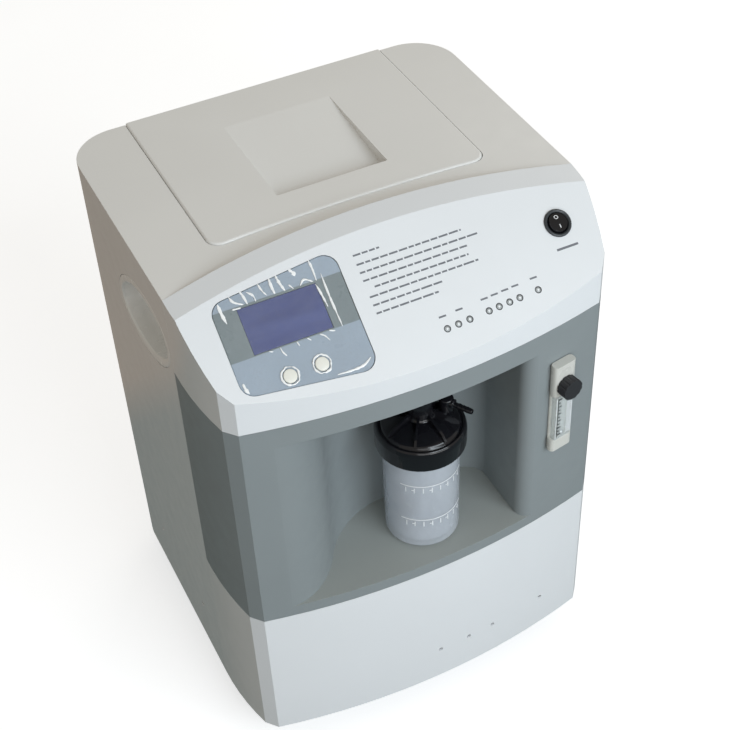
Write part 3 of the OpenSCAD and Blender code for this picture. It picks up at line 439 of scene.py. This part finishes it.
def block(lo, hi, round_off=0, place=Matrix(), bm=None):
    """Box between two corners in mm, with rounded edges."""
    bm = bm or bmesh.new()
    lo, hi = Vector(lo), Vector(hi)
    made = bmesh.ops.create_cube(bm, size=1)["verts"]
    for v in made:
        v.co = Vector([lo[i] if v.co[i] < 0 else hi[i] for i in range(3)])
    if round_off:
        edges = list({e for v in made for e in v.link_edges})
        new = bmesh.ops.bevel(bm, geom=edges, offset=round_off, segments=2, profile=0.5,
                              affect="EDGES", clamp_overlap=True)["verts"]
        made = new + [v for v in made if v.is_valid]
    for v in set(made):
        v.co = place @ (v.co * MM)
    return bm


def prism(outline, low, high, place=Matrix(), bm=None):
    """Plate of an outline in mm, from local height low to high."""
    bm = bm or bmesh.new()
    ends = [[bm.verts.new(place @ (Vector((x, y, z)) * MM)) for x, y in outline] for z in (low, high)]
    join_rings(bm, ends, False)
    for ring in ends:
        bm.faces.new(ring)
    return bm


# ---------------------------------------------------------------- covers
# Upward faces take the warmer top copy and the rest the darker side copy: painted light on top, painted
# shade on the sides.
def top_or_side(f):
    return 0 if f.normal.z > 0.35 else 1


# Faces that look sideways take the darker copy of the white plastic: painted shade on the sides.
def front_or_side(f):
    return 1 if abs(f.normal.x) > 0.9 else 0


# Upward faces low in the bay take the lighter grey: painted light on the shelf.
def wall_or_shelf(f):
    middle = f.calc_center_median() / MM
    return 1 if f.normal.z > 0.9 and middle.z < 210 else 0


def front_corner(e):
    """True for the upright edge between the bowed front and its chamfer."""
    return has(e, upright, upright) and mid(e).y < -110 and abs(mid(e).x) > 150


def bay_mouth(e):
    """True for an edge of the bay's sill or top that runs across the front."""
    across = abs(e.verts[0].co.z - e.verts[1].co.z) < 0.001
    return mid(e).y < -130 and abs(mid(e).x) < 120 and 195 < mid(e).z < 405 and across


def over_pocket(e):
    """True along the lid's finger pocket, which spans the middle of the lid."""
    return -60 < mid(e).x < 60


# Side faces of the covers and casing take the darker copy: painted shade.
shell("front_cover", "console_cover", [WHITE, SIDE_SHADED], [
    (6.0, 5, 20, lambda e: has(e, sloping, upright)),
    (7.0, 5, 12, lambda e: has(e, sloping, level)),
    (3.0, 4, 12, lambda e: has(e, upright, upright) and mid(e).y < -100),
    (0.7, 2, 30, anything),
], pick=front_or_side)
shell("rear_casing", "casing_shell", [TOP_WARM_LIT, SIDE_SHADED], [
    (5.0, 5, 40, lambda e: has(e, level, upright) and (abs(mid(e).x) > 150 or mid(e).y > 170)
     and mid(e).z > 500),
    (0.7, 2, 30, anything),
], pick=top_or_side)
shell("bay_panel", "bay_shell", [GREY, SHELF_LIT], [
    (3.0, 4, 12, front_corner),
    (1.6, 3, 30, bay_mouth),
    (0.7, 2, 30, anything),
], pick=wall_or_shelf)
shell("lower_cover", "lower_shell", [WHITE, SIDE_SHADED], [
    (3.0, 4, 12, front_corner),
    (1.2, 3, 30, anything),
], pick=front_or_side)
# The whole lid takes the warmer top copy: painted warm light, partly the lid's own warmer tone.
shell("top_lid", "lid_shell", TOP_WARM_LIT, [
    (2.2, 4, 30, lambda e: mid(e).z > 504.8 and has(e, level, upright)
     and not (over_pocket(e) and mid(e).y > 0)),
    (3.5, 4, 30, lambda e: mid(e).z > 490 and has(e, upright, upright) and over_pocket(e)
     and 5 < mid(e).y < 30),
    (0.6, 2, 30, anything),
], "lid")
shell("filter_door", "filter_cover_shell", WHITE, [(0.8, 2, 30, anything)], "filter_cover")


# ---------------------------------------------------------------- grips
GRIP_HALF = (66, 35)               # half length and half height of the oval cup, in mm
GRIP_TILT = math.radians(16)
SIDE_X = 182.5                     # the cabinet's side face


def grip(node, side):
    """Cup with a rolled rim, set flush in the cabinet's side."""
    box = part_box(node)
    centre = Vector((0, (box[0][1] + box[1][1]) / 2, (box[0][2] + box[1][2]) / 2)) / MM
    cos, sin = math.cos(GRIP_TILT), math.sin(GRIP_TILT)
    profile = eased([(0, 1.5), (0, 0, 0.7), (5.2, 0, 0.8), (7.4, 1.2, 0.8), (8.2, 14, 3), (13, 26, 7),
                     (30, 27.6), (34.9, 27.8), (34.9, 29.6), (14, 29.6, 2), (5.6, 22, 2), (5.6, 1.6)], 5)
    bm = bmesh.new()
    rings = []
    for inset, deep in profile:
        ring = []
        for i in range(112):
            a = 2 * math.pi * i / 112
            u = max(GRIP_HALF[0] - inset, 1) * math.cos(a)
            v = max(GRIP_HALF[1] - inset, 0.3) * math.sin(a)
            ring.append(bm.verts.new(Vector((side * (SIDE_X - deep), centre.y + u * cos + v * sin,
                                             centre.z - u * sin + v * cos)) * MM))
        rings.append(ring)
    join_rings(bm, rings, True)
    # The cup takes the brighter copy of the white plastic: painted light.
    put(node + "_cup", bm, CUP_LIT, replaces=[node], sharp=40)


grip("grip_left", -1)
grip("grip_right", 1)


# ---------------------------------------------------------------- window, display and film
shell("display_window", "window_panel", PANEL, [(0.5, 2, 30, anything)])
shell("display_module", "display_unit", LCD, [(0.4, 2, 30, anything)])


# The window's corners and middle, as x and distance up the slope, and the corners' radius
WINDOW = [Vector(p) for p in ((-154, 1.6), (-44.5, -12.2), (-44.5, 88.7), (-154, 77.4))]
WINDOW_MIDDLE = Vector((-99.2, 38.9))
WINDOW_ROUND = 12


def window_edge(a):
    """The window's middle, and the way from there to its rounded outline in the direction a."""
    corners, middle = WINDOW, WINDOW_MIDDLE
    way = Vector((math.cos(a), math.sin(a)))
    best = 1e9
    for i, p in enumerate(corners):
        q = corners[(i + 1) % 4]
        out = Vector((q.y - p.y, p.x - q.x)).normalized()
        if way.dot(out) > 1e-6:
            best = min(best, (p - middle).dot(out) / way.dot(out))
    point = middle + way * best
    for i, p in enumerate(corners):
        before, after = (corners[i - 1] - p).normalized(), (corners[(i + 1) % 4] - p).normalized()
        half = before.angle(after) / 2
        centre = p + (before + after).normalized() * WINDOW_ROUND / math.sin(half)
        reach = WINDOW_ROUND / math.tan(half)
        if (point - p).length < reach + 0.01:
            to = middle - centre
            b, c = to.dot(way), to.dot(to) - WINDOW_ROUND ** 2
            best = min(best, -b + math.sqrt(max(b * b - c, 0)))
    return middle, way * best


def ripple(x, s):
    """Height of the film over the console's face, in mm."""
    broad = noise.noise(Vector((x * 0.045, s * 0.06, 3.1)))
    fine = noise.noise(Vector((x * 0.22, s * 0.13, 7.7)))
    return -0.16 + 0.22 * broad + 0.10 * fine


def film():
    """Loose protective film laid over the whole window."""
    bm = bmesh.new()
    turns, steps = 144, 30
    rings = []
    for k in range(steps + 1):
        ring = []
        for i in range(turns if k else 1):
            middle, out = window_edge(2 * math.pi * i / turns)
            p = middle + out * (k / steps) * 0.985
            ring.append(bm.verts.new(on_console(p.x, p.y, ripple(p.x, p.y)) @ Vector()))
        rings.append(ring)
    join_rings(bm, rings, False)
    bmesh.ops.solidify(bm, geom=bm.faces[:], thickness=0.00008)
    put("window_film", bm, FILM, sharp=60)


# Middles of the two buttons, as x and distance up the slope
BUTTONS = {"left": (-114, 6.2), "right": (-87, 6.7)}

# Folds of the film: width and height in mm, then points as x and distance up the slope
FOLDS = [
    (1.3, 0.5, (-136.2, 79.8), (-134.1, 74.3), (-127.2, 70)),
    (1.5, 0.5, (-127, 81.4), (-125.4, 77), (-124.2, 69.4)),
    (1.3, 0.5, (-121.9, 78.7), (-117.8, 74.4), (-117.3, 69.4)),
    (1.1, 0.4, (-111.1, 81.8), (-109.7, 75.5), (-107.4, 70.8)),
    (1.8, 0.5, (-101.3, 83.3), (-101.6, 76.6), (-101.1, 70)),
    (1.8, 0.5, (-95.6, 84.2), (-94.6, 77.1), (-92.6, 69.8)),
    (2.0, 0.3, (-83.8, 84.6), (-81.3, 81.3), (-81, 78.3)),
    (1.0, 0.4, (-88.3, 73.5), (-85.7, 69.2)),
    (1.2, 0.5, (-80, 69.6), (-75.2, 73.4), (-69, 69.6)),
    (1.5, 0.6, (-66.5, 87.6), (-65.7, 80), (-66.1, 69.4)),
    (1.5, 0.6, (-60.8, 73.9), (-61.1, 58.9), (-61, 47.2), (-60.4, 29)),
    (1.3, 0.5, (-67.9, 67.1), (-66.6, 58.9), (-65.4, 47)),
    (2.0, 0.3, (-146.4, 76.6), (-146, 67.9), (-144.9, 59.9)),
    (1.0, 0.4, (-137.2, 68.9), (-130.1, 68.4)),
    (1.0, 0.4, (-113, 29.3), (-112.5, 25.7), (-110.4, 21.6)),
    (1.0, 0.4, (-99.2, 29.6), (-98.2, 25.5)),
    (1.0, 0.4, (-80, 29.2), (-76.5, 26.4), (-74, 21.7)),
    (0.9, 0.3, (-90.4, 29.4), (-88, 26.7)),
    (1.0, 0.4, (-71.8, 29.4), (-67.2, 27.5)),
    (0.9, 0.4, (-122.6, 29.3), (-119.2, 28.1)),
    (1.6, 0.5, (-78.9, -5.3), (-66, -6.0), (-56.1, -5.2), (-48.6, -1.2)),
    (2.0, 0.5, (-150.5, 12.8), (-150.1, 8), (-148.6, 3.8)),
]


def folds():
    """Sharp creases of the film, each a slim ridge that runs out at both ends. Their near-white colour is
    a painted highlight.
    """
    bm = bmesh.new()
    for width, height, *points in FOLDS:
        points = [Vector(p) for p in points]
        path = []
        for i in range(len(points) - 1):
            p, q = points[i], points[i + 1]
            m0 = (q - points[max(i - 1, 0)]) / 2
            m1 = (points[min(i + 2, len(points) - 1)] - p) / 2
            for k in range(7):
                t = k / 7
                path.append(p * (1 - 3 * t * t + 2 * t ** 3) + q * (3 * t * t - 2 * t ** 3)
                            + m0 * (t - 2 * t * t + t ** 3) + m1 * (t ** 3 - t * t))
        path.append(points[-1])
        rings = []
        for i, p in enumerate(path):
            along = (path[min(i + 1, len(path) - 1)] - path[max(i - 1, 0)]).normalized()
            across = Vector((-along.y, along.x))
            swell = max(math.sin(math.pi * (i + 0.25) / (len(path) - 0.5)), 0.06) ** 0.6
            wave = 0.75 + 0.5 * noise.noise(Vector((p.x * 0.5, p.y * 0.5, 1.3)))
            ring = []
            for k in range(8):
                a = 2 * math.pi * k / 8
                q = p + across * (0.85 * width * swell * wave * math.cos(a))
                up = height * swell * (math.sin(a) if math.sin(a) > 0 else 0.3 * math.sin(a))
                ring.append(bm.verts.new(on_console(q.x, q.y, ripple(q.x, q.y) + up) @ Vector()))
            rings.append(ring)
        join_rings(bm, rings, False)
        bm.faces.new(rings[0])
        bm.faces.new(rings[-1])
    radius, thick = 7.2, 0.7       # the creases round the buttons
    loop = [(radius + thick * math.cos(a), 0.1 + 0.5 * thick * math.sin(a))
            for a in [2 * math.pi * k / 8 for k in range(8)]]
    for x, s in BUTTONS.values():
        def wander(a, r, z, x=x):
            return 0.9 * noise.noise(Vector((3 * math.cos(a) + x, 3 * math.sin(a), r)))
        lathe(loop, on_console(x, s), 48, bm, wander)
    # Creases and button rings are coloured near-white as a painted highlight.
    put("film_folds", bm, FOLD_HIGHLIGHT, sharp=70)


film()
folds()


# ---------------------------------------------------------------- buttons, lights and switch
def buttons():
    profile = eased([(0, -6.9), (6.8, -6.9), (6.8, -4.6), (5.6, -4.5), (5.6, 0.6, 0.9), (0, 1.0)], 5)
    for side, body in (("left", "button_a"), ("right", "button_b")):
        key = lathe(profile, on_console(*BUTTONS[side]))
        put(f"button_{side}_key", key, IVORY, body, [f"button_{side}"])


LIGHT_X = (18.8, 29, 39.4, 57.4, 66.9, 76.7, 86.3, 103.9)
LABEL_X = (18.8, 34, 57.4, 66.9, 76.7, 86.3, 103.9)


def lamp_row(x):
    """How far up the slope the rising row of lamps lies at x."""
    return -1 + 4.5 * (x - LIGHT_X[0]) / 85


def lights():
    lens, ring, lens_glint = bmesh.new(), bmesh.new(), bmesh.new()
    for x in LIGHT_X:
        place = on_console(x, lamp_row(x))
        lathe(eased([(0, -6), (3.2, -6), (3.2, -3.6), (2.2, -3.5), (2.2, 0.05, 0.6), (0, 0.25)]),
              place, 32, lens)
        lathe(eased([(2.25, -0.2), (2.25, 0.12, 0.1), (3.0, 0.12, 0.1), (3.0, -0.2)], 2),
              place, 32, ring)
        # A small white disc on the top of each lens: painted glint.
        lathe([(0, 0.2), (0.9, 0.2), (0.9, 0.3), (0, 0.34)], place, 20, lens_glint)
    put("lamp_lenses", lens, LAMP, replaces=["indicator_lights"])
    put("lamp_rings", ring, RING)
    put("lamp_lens_glints", lens_glint, MARK_AND_GLINT)


def switch():
    place = on_console(143, 49.6)
    profile = eased([(10, -22), (10, 0.05), (12, 0.05, 0.4), (12, 1.5, 0.9), (10.6, 2.05, 0.5),
                     (9.2, 1.2, 0.4), (9.2, -11), (9.2, -22)], 4)
    put("switch_rim", lathe(profile, place), RIM, replaces=["switch_housing"])
    shell("switch_rocker", "switch_key", BLACK, [(0.5, 3, 30, anything)], "rocker")
    tip = place @ Matrix.Translation((0, 0, -1.5 * MM)) @ Matrix.Rotation(math.radians(-8), 4, "X")
    slant = math.atan2(1.4, 10)
    upper, lower = (tip @ Matrix.Translation(Vector((0, y, 4.6 - 0.14 * abs(y) + 0.02)) * MM)
                    @ Matrix.Rotation(math.copysign(slant, -y), 4, "X") for y in (4.4, -4.0))
    mark = lathe([(1.25, -0.05), (1.25, 0.06), (1.85, 0.06), (1.85, -0.05)], upper, 32)
    block((-0.35, -1.6, -0.05), (0.35, 1.6, 0.06), 0, lower, mark)
    put("switch_marks", mark, MARK_AND_GLINT, "rocker")


buttons()
lights()
switch()


# ---------------------------------------------------------------- plain printed bars
def printed():
    """Rows of plain bars where such a console carries print."""
    bm = bmesh.new()

    def bar(x0, x1, s, tall):
        place = on_console((x0 + x1) / 2, s)
        block(((x0 - x1) / 2, -tall / 2, -0.05), ((x1 - x0) / 2, tall / 2, 0.05), 0, place, bm)

    # distance up the slope, left end and right end of each row
    rows = [(78.4, -31, -8), (70.6, -31, 62), (63.6, -31, 74), (56.8, -31, 62), (49.8, -24, 60),
            (43, -31, 66), (36, -31, 30), (29.2, -31, 24)]
    for row, (s, left, right) in enumerate(rows):
        x, k = left, 0
        while x < right:
            length = 4.2 + 4.6 * abs(noise.noise(Vector((row * 3.7 + 0.4, k * 1.9 + 0.7, 2.2)))) * 2
            end = min(x + length, right)
            if end - x > 1.2:
                bar(x, end, s, 1.5)
            x = end + 1.3
            k += 1
    for x in LABEL_X:
        bar(x - 3.2, x + 3.2, lamp_row(x) + 10.5, 1.5)
    bar(133, 153, 28.5, 1.9)
    put("console_print", bm, PRINT)


printed()


# ---------------------------------------------------------------- flow meter
FRONT_Y, FRONT_R = -167.675, 700.73    # the bowed front's foremost y and its radius
METER_X = 121.5


def bow_y(x):
    """How far back the bowed front lies at x, in mm."""
    return FRONT_Y + FRONT_R - math.sqrt(FRONT_R ** 2 - x * x)


METER_AT = Matrix.Translation(Vector((METER_X, bow_y(METER_X), 0)) * MM) \
    @ Matrix.Rotation(math.asin(METER_X / FRONT_R), 4, "Z")


def flow_meter():
    shell("flow_meter_body", "meter_ends", METER, [(1.2, 3, 30, anything)])
    shell("flow_meter_tube", "meter_glass", CLEAR, [(0.5, 2, 60, anything)])
    dark, pale = bmesh.new(), bmesh.new()

    def mark(bm, x0, x1, z0, z1):
        """Thin raised mark on the meter's glass."""
        block((x0, -9.72, z0), (x1, -9.5, z1), 0, METER_AT, bm)

    for i in range(11):
        z = 303 + 4.2 * i
        mark(dark, -6.8, -3.4 if i % 2 == 0 else -4.6, z, z + 1.1)
    mark(dark, -7.6, -7.0, 301, 347)
    for i in range(17):
        z = 302 + 2.7 * i
        mark(pale, 2.6, 7.4, z, z + 1.0)
    mark(pale, 7.6, 8.4, 301, 347)
    mark(pale, -9.3, -8.7, 300, 348)
    put("meter_ticks", dark, TICK)
    put("meter_rungs", pale, MARK_AND_GLINT)
    shell("flow_knob", "meter_knob", DULL, [(0.8, 3, 30, anything)], "knob")


flow_meter()


# ---------------------------------------------------------------- humidifier
BOTTLE = Matrix.Translation(Vector((8.5, -119.4, 0)) * MM)
QUARTER = math.radians(90)
NOZZLE = (22, -6)                  # foot of the side nozzle from the bottle's axis


def humidifier():
    side = [(34.9, 309.3), (40.1, 309.3, 0.6), (40.3, 325.2, 1.6), (39.3, 328.8, 0.8), (38.2, 330.6, 0.9),
            (36.6, 330.4, 0.6), (35.6, 329.2, 0.6), (33.8, 332.2, 1.0), (22, 337.6, 3), (12.4, 339.4, 0.8),
            (11, 342, 1.2), (11, 356.6, 0.9), (3.2, 356.9, 0.4), (3.2, 335), (22, 334.2), (34.9, 327.8)]

    def flute(a, r, z):
        """Fine grip flutes round the skirt."""
        return -0.22 * (0.5 + 0.5 * math.cos(40 * a)) if r > 39.9 and z < 325 else 0

    cap = lathe(eased(side, 4), BOTTLE, 112, flute=flute)
    for i in range(8):
        turn = Matrix.Rotation(math.radians(45 * i + 10), 4, "Z") @ Matrix.Rotation(QUARTER, 4, "X")
        prism([(9, 338), (9, 344.6), (12, 344.9), (30.5, 337.9), (35.2, 332.6), (34, 331)],
              -1.1, 1.1, BOTTLE @ turn, cap)
    post = BOTTLE @ Matrix.Translation(Vector((*NOZZLE, 0)) * MM)
    lathe(eased([(0, 336), (6.4, 336), (6.4, 353.5, 1.4), (0, 354.8)]), post, 40, cap)
    spout = BOTTLE @ Matrix.Translation(Vector((*NOZZLE, 349)) * MM) \
        @ Matrix.Rotation(math.radians(30), 4, "Z") @ Matrix.Rotation(QUARTER, 4, "X")
    barbs = [(1.6, 2), (4.3, 2), (4.3, 8, 0.6), (2.5, 8.2, 0.3), (2.5, 12), (2.8, 12.6),
             (2.5, 15.5), (2.5, 16), (2.8, 16.6), (2.5, 19.5), (2.5, 20), (2.8, 20.6),
             (2.3, 25.6, 0.3), (1.6, 25.9)]
    lathe(eased(barbs, 3), spout, 32, cap)
    put("bottle_lid", cap, BLACK, "bottle_cap", ["humidifier_cap"])
    shell("humidifier_nut", "swivel_nut", BLACK, [(0.9, 3, 30, anything)], "bottle_nut")
    shell("outlet_stub", "outlet_fitting", BLACK, [(0.7, 2, 30, anything)])
    wall = [(0, 203.3), (25, 203.3, 1), (27.5, 204.2, 0.6), (33.4, 204.6, 3.2), (34.05, 326.3, 0.5),
            (31.9, 326.3, 0.4), (31.3, 209.5, 3.5), (24, 206.6, 2), (0, 205.6)]
    jar = lathe(eased(wall, 5), BOTTLE, 112)
    put("bottle_jar_wall", jar, MILKY, "bottle_jar", ["humidifier_jar"], sharp=40)
    marks = bmesh.new()
    for z, radius in ((283, 33.85), (240, 33.65)):
        arc(marks, radius, -150, -40, z, z + 1.0)
        for k in range(8):
            a = -142 + 13.2 * k
            arc(marks, radius, a, a + 1.8, z - 7.5, z - 1.6)
            if k % 2:
                arc(marks, radius, a - 3.4, a, z - 4.8, z - 3.8)
    put("jar_level_marks", marks, MARK_AND_GLINT, "bottle_jar")
    pipe = lathe(eased([(1.6, 229), (2.9, 227), (2.9, 352.5), (1.6, 352.5)], 2), BOTTLE, 32)
    lathe(eased([(0, 211), (5.8, 211, 1.2), (5.8, 226, 1.2), (0, 227)], 3), BOTTLE, 40, pipe)
    put("bubble_pipe", pipe, MILKY, "bottle_cap", ["diffuser_tube"])


def arc(bm, radius, a0, a1, z0, z1):
    """Thin curved bar on the jar, from angle a0 to a1 in degrees."""
    n = max(int((a1 - a0) / 4), 1)
    rings = []
    for k in range(n + 1):
        a = math.radians(a0 + (a1 - a0) * k / n)
        rings.append([bm.verts.new(BOTTLE @ (Vector((r * math.cos(a), r * math.sin(a), z)) * MM))
                      for r, z in ((radius, z0), (radius + 0.12, z0), (radius + 0.12, z1), (radius, z1))])
    join_rings(bm, rings, False)
    bm.faces.new(rings[0])
    bm.faces.new(rings[-1])


humidifier()


# ---------------------------------------------------------------- casters, back and fixings
def casters():
    tyre = eased([(18.3, -7.1), (19.4, -8, 0.5), (22.8, -8, 1), (24, -5.4, 2), (24, 5.4, 2), (22.8, 8, 1),
                  (19.4, 8, 0.5), (18.3, 7.1)], 4)
    hub = eased([(3.05, -9), (9.7, -9, 0.6), (11, -6.6, 0.8), (18.4, -6.6), (18.4, 6.6), (11, 6.6, 0.8),
                 (9.7, 9, 0.6), (3.05, 9)], 3)
    for i in range(1, 5):
        wheel = f"wheel_{i}"
        low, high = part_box(f"caster_wheel_{i}")
        middle = Matrix.Translation((Vector(low) + Vector(high)) / 2)
        place = middle @ Matrix.Rotation(QUARTER, 4, "Y")
        put(f"tyre_{i}", lathe(tyre, place, 72), TYRE, wheel, [f"caster_wheel_{i}"])
        bm = lathe(hub, place, 64)
        for k in range(6):
            spoke = place @ Matrix.Rotation(k * math.pi / 3, 4, "Z")
            block((9.5, -1, -7.6), (18.6, 1, 7.6), 0.5, spoke, bm)
        put(f"hub_{i}", bm, HUB, wheel)
        shell(f"caster_fork_{i}", f"fork_{i}", STEEL, [(0.5, 2, 40, anything)], f"caster_{i}")


def screw_slots():
    """Cross slots in the screw heads."""
    bm = bmesh.new()
    heads = [(Vector((x, bow_y(x) + 1.4, 70)), "Y") for x in (1, 32, 58.6, 115.7)]
    heads += [(Vector((side * 182.1, y, 86)), "X") for side in (-1, 1) for y in (-21.8, 87.4)]
    heads += [(Vector((x, 176.925, z)), "Y") for x in (-130, 130) for z in (58, 466)]
    for at, axis in heads:
        for tilted in (0, 1):
            across, tall = (1.2, 0.28) if tilted else (0.28, 1.2)
            size = Vector((across, 0.04, tall)) if axis == "Y" else Vector((0.04, across, tall))
            block(at - size, at + size, bm=bm)
    put("screw_slots", bm, RING)


casters()
screw_slots()
shell("cover_screws", "screw_heads", PIN, [(0.3, 2, 40, anything)])
shell("storage_tray", "tray_bin", TRAY, [(1.5, 3, 40, anything)])
shell("power_inlet", "mains_inlet", DULL, [(0.6, 2, 40, anything)])
shell("circuit_breaker", "breaker_ring", DULL, [(0.5, 2, 40, anything)])
shell("breaker_button", "breaker_key_cap", RED, [(0.5, 3, 40, anything)], "breaker_key")


# ---------------------------------------------------------------- floor
def floor_material():
    """Pale to the eye. The stage's darker surroundings show only in the gloss of the object."""
    m, tree, shader = new_material("floor_pale")
    tree.nodes.remove(shader)
    out = tree.nodes["Material Output"]
    path = add(tree, "ShaderNodeLightPath").outputs
    where = add(tree, "ShaderNodeSeparateXYZ")
    tree.links.new(add(tree, "ShaderNodeTexCoord").outputs["Object"], where.inputs[0])
    far = add(tree, "ShaderNodeMapRange")
    far.inputs["From Min"].default_value = 0.33
    far.inputs["From Max"].default_value = 0.41
    tree.links.new(where.outputs["Y"], far.inputs["Value"])
    seen = add(tree, "ShaderNodeEmission")
    tree.links.new(mixed(tree, far.outputs["Result"], (0.13, 0.175, 0.18), (0.33, 0.27, 0.22)),
                   seen.inputs["Color"])
    pale = add(tree, "ShaderNodeBsdfDiffuse")
    grain = spread(tree, noise_at(tree, 3, 3), 0, 1)
    tree.links.new(mixed(tree, grain, (0.60, 0.60, 0.60), (0.63, 0.63, 0.63)), pale.inputs["Color"])
    lift = add(tree, "ShaderNodeEmission")
    lift.inputs["Color"].default_value = (0.98, 0.99, 1.0, 1)
    lift.inputs["Strength"].default_value = 0.64
    lit = add(tree, "ShaderNodeAddShader")
    tree.links.new(pale.outputs[0], lit.inputs[0])
    tree.links.new(lift.outputs[0], lit.inputs[1])
    dim = add(tree, "ShaderNodeBsdfDiffuse")
    dim.inputs["Color"].default_value = (0.30, 0.31, 0.31, 1)
    indirect = add(tree, "ShaderNodeMixShader")
    tree.links.new(path["Is Glossy Ray"], indirect.inputs[0])
    tree.links.new(dim.outputs[0], indirect.inputs[1])
    tree.links.new(seen.outputs[0], indirect.inputs[2])
    final = add(tree, "ShaderNodeMixShader")
    tree.links.new(path["Is Camera Ray"], final.inputs[0])
    tree.links.new(indirect.outputs[0], final.inputs[1])
    tree.links.new(lit.outputs[0], final.inputs[2])
    tree.links.new(final.outputs[0], out.inputs["Surface"])
    return m


def make_floor():
    bm = bmesh.new()
    bmesh.ops.create_circle(bm, cap_ends=True, radius=6, segments=96)
    me = bpy.data.meshes.new("floor")
    bm.to_mesh(me)
    bm.free()
    floor = bpy.data.objects.new("floor", me)
    floor.location = (0, 0, -0.0002)
    scene.collection.objects.link(floor)
    me.materials.append(floor_material())


make_floor()


def make_world():
    world = bpy.data.worlds.new("studio")
    scene.world = world
    world.use_nodes = True
    tree = world.node_tree
    room = tree.nodes["Background"]
    room.inputs["Color"].default_value = (1.0, 0.94, 0.84, 1)
    room.inputs["Strength"].default_value = 0.42
    plain = tree.nodes.new("ShaderNodeBackground")
    plain.inputs["Color"].default_value = (0.97, 0.98, 1.0, 1)
    path = tree.nodes.new("ShaderNodeLightPath")
    both = tree.nodes.new("ShaderNodeMixShader")
    tree.links.new(path.outputs["Is Camera Ray"], both.inputs[0])
    tree.links.new(room.outputs[0], both.inputs[1])
    tree.links.new(plain.outputs[0], both.inputs[2])
    tree.links.new(both.outputs[0], tree.nodes["World Output"].inputs["Surface"])


make_world()
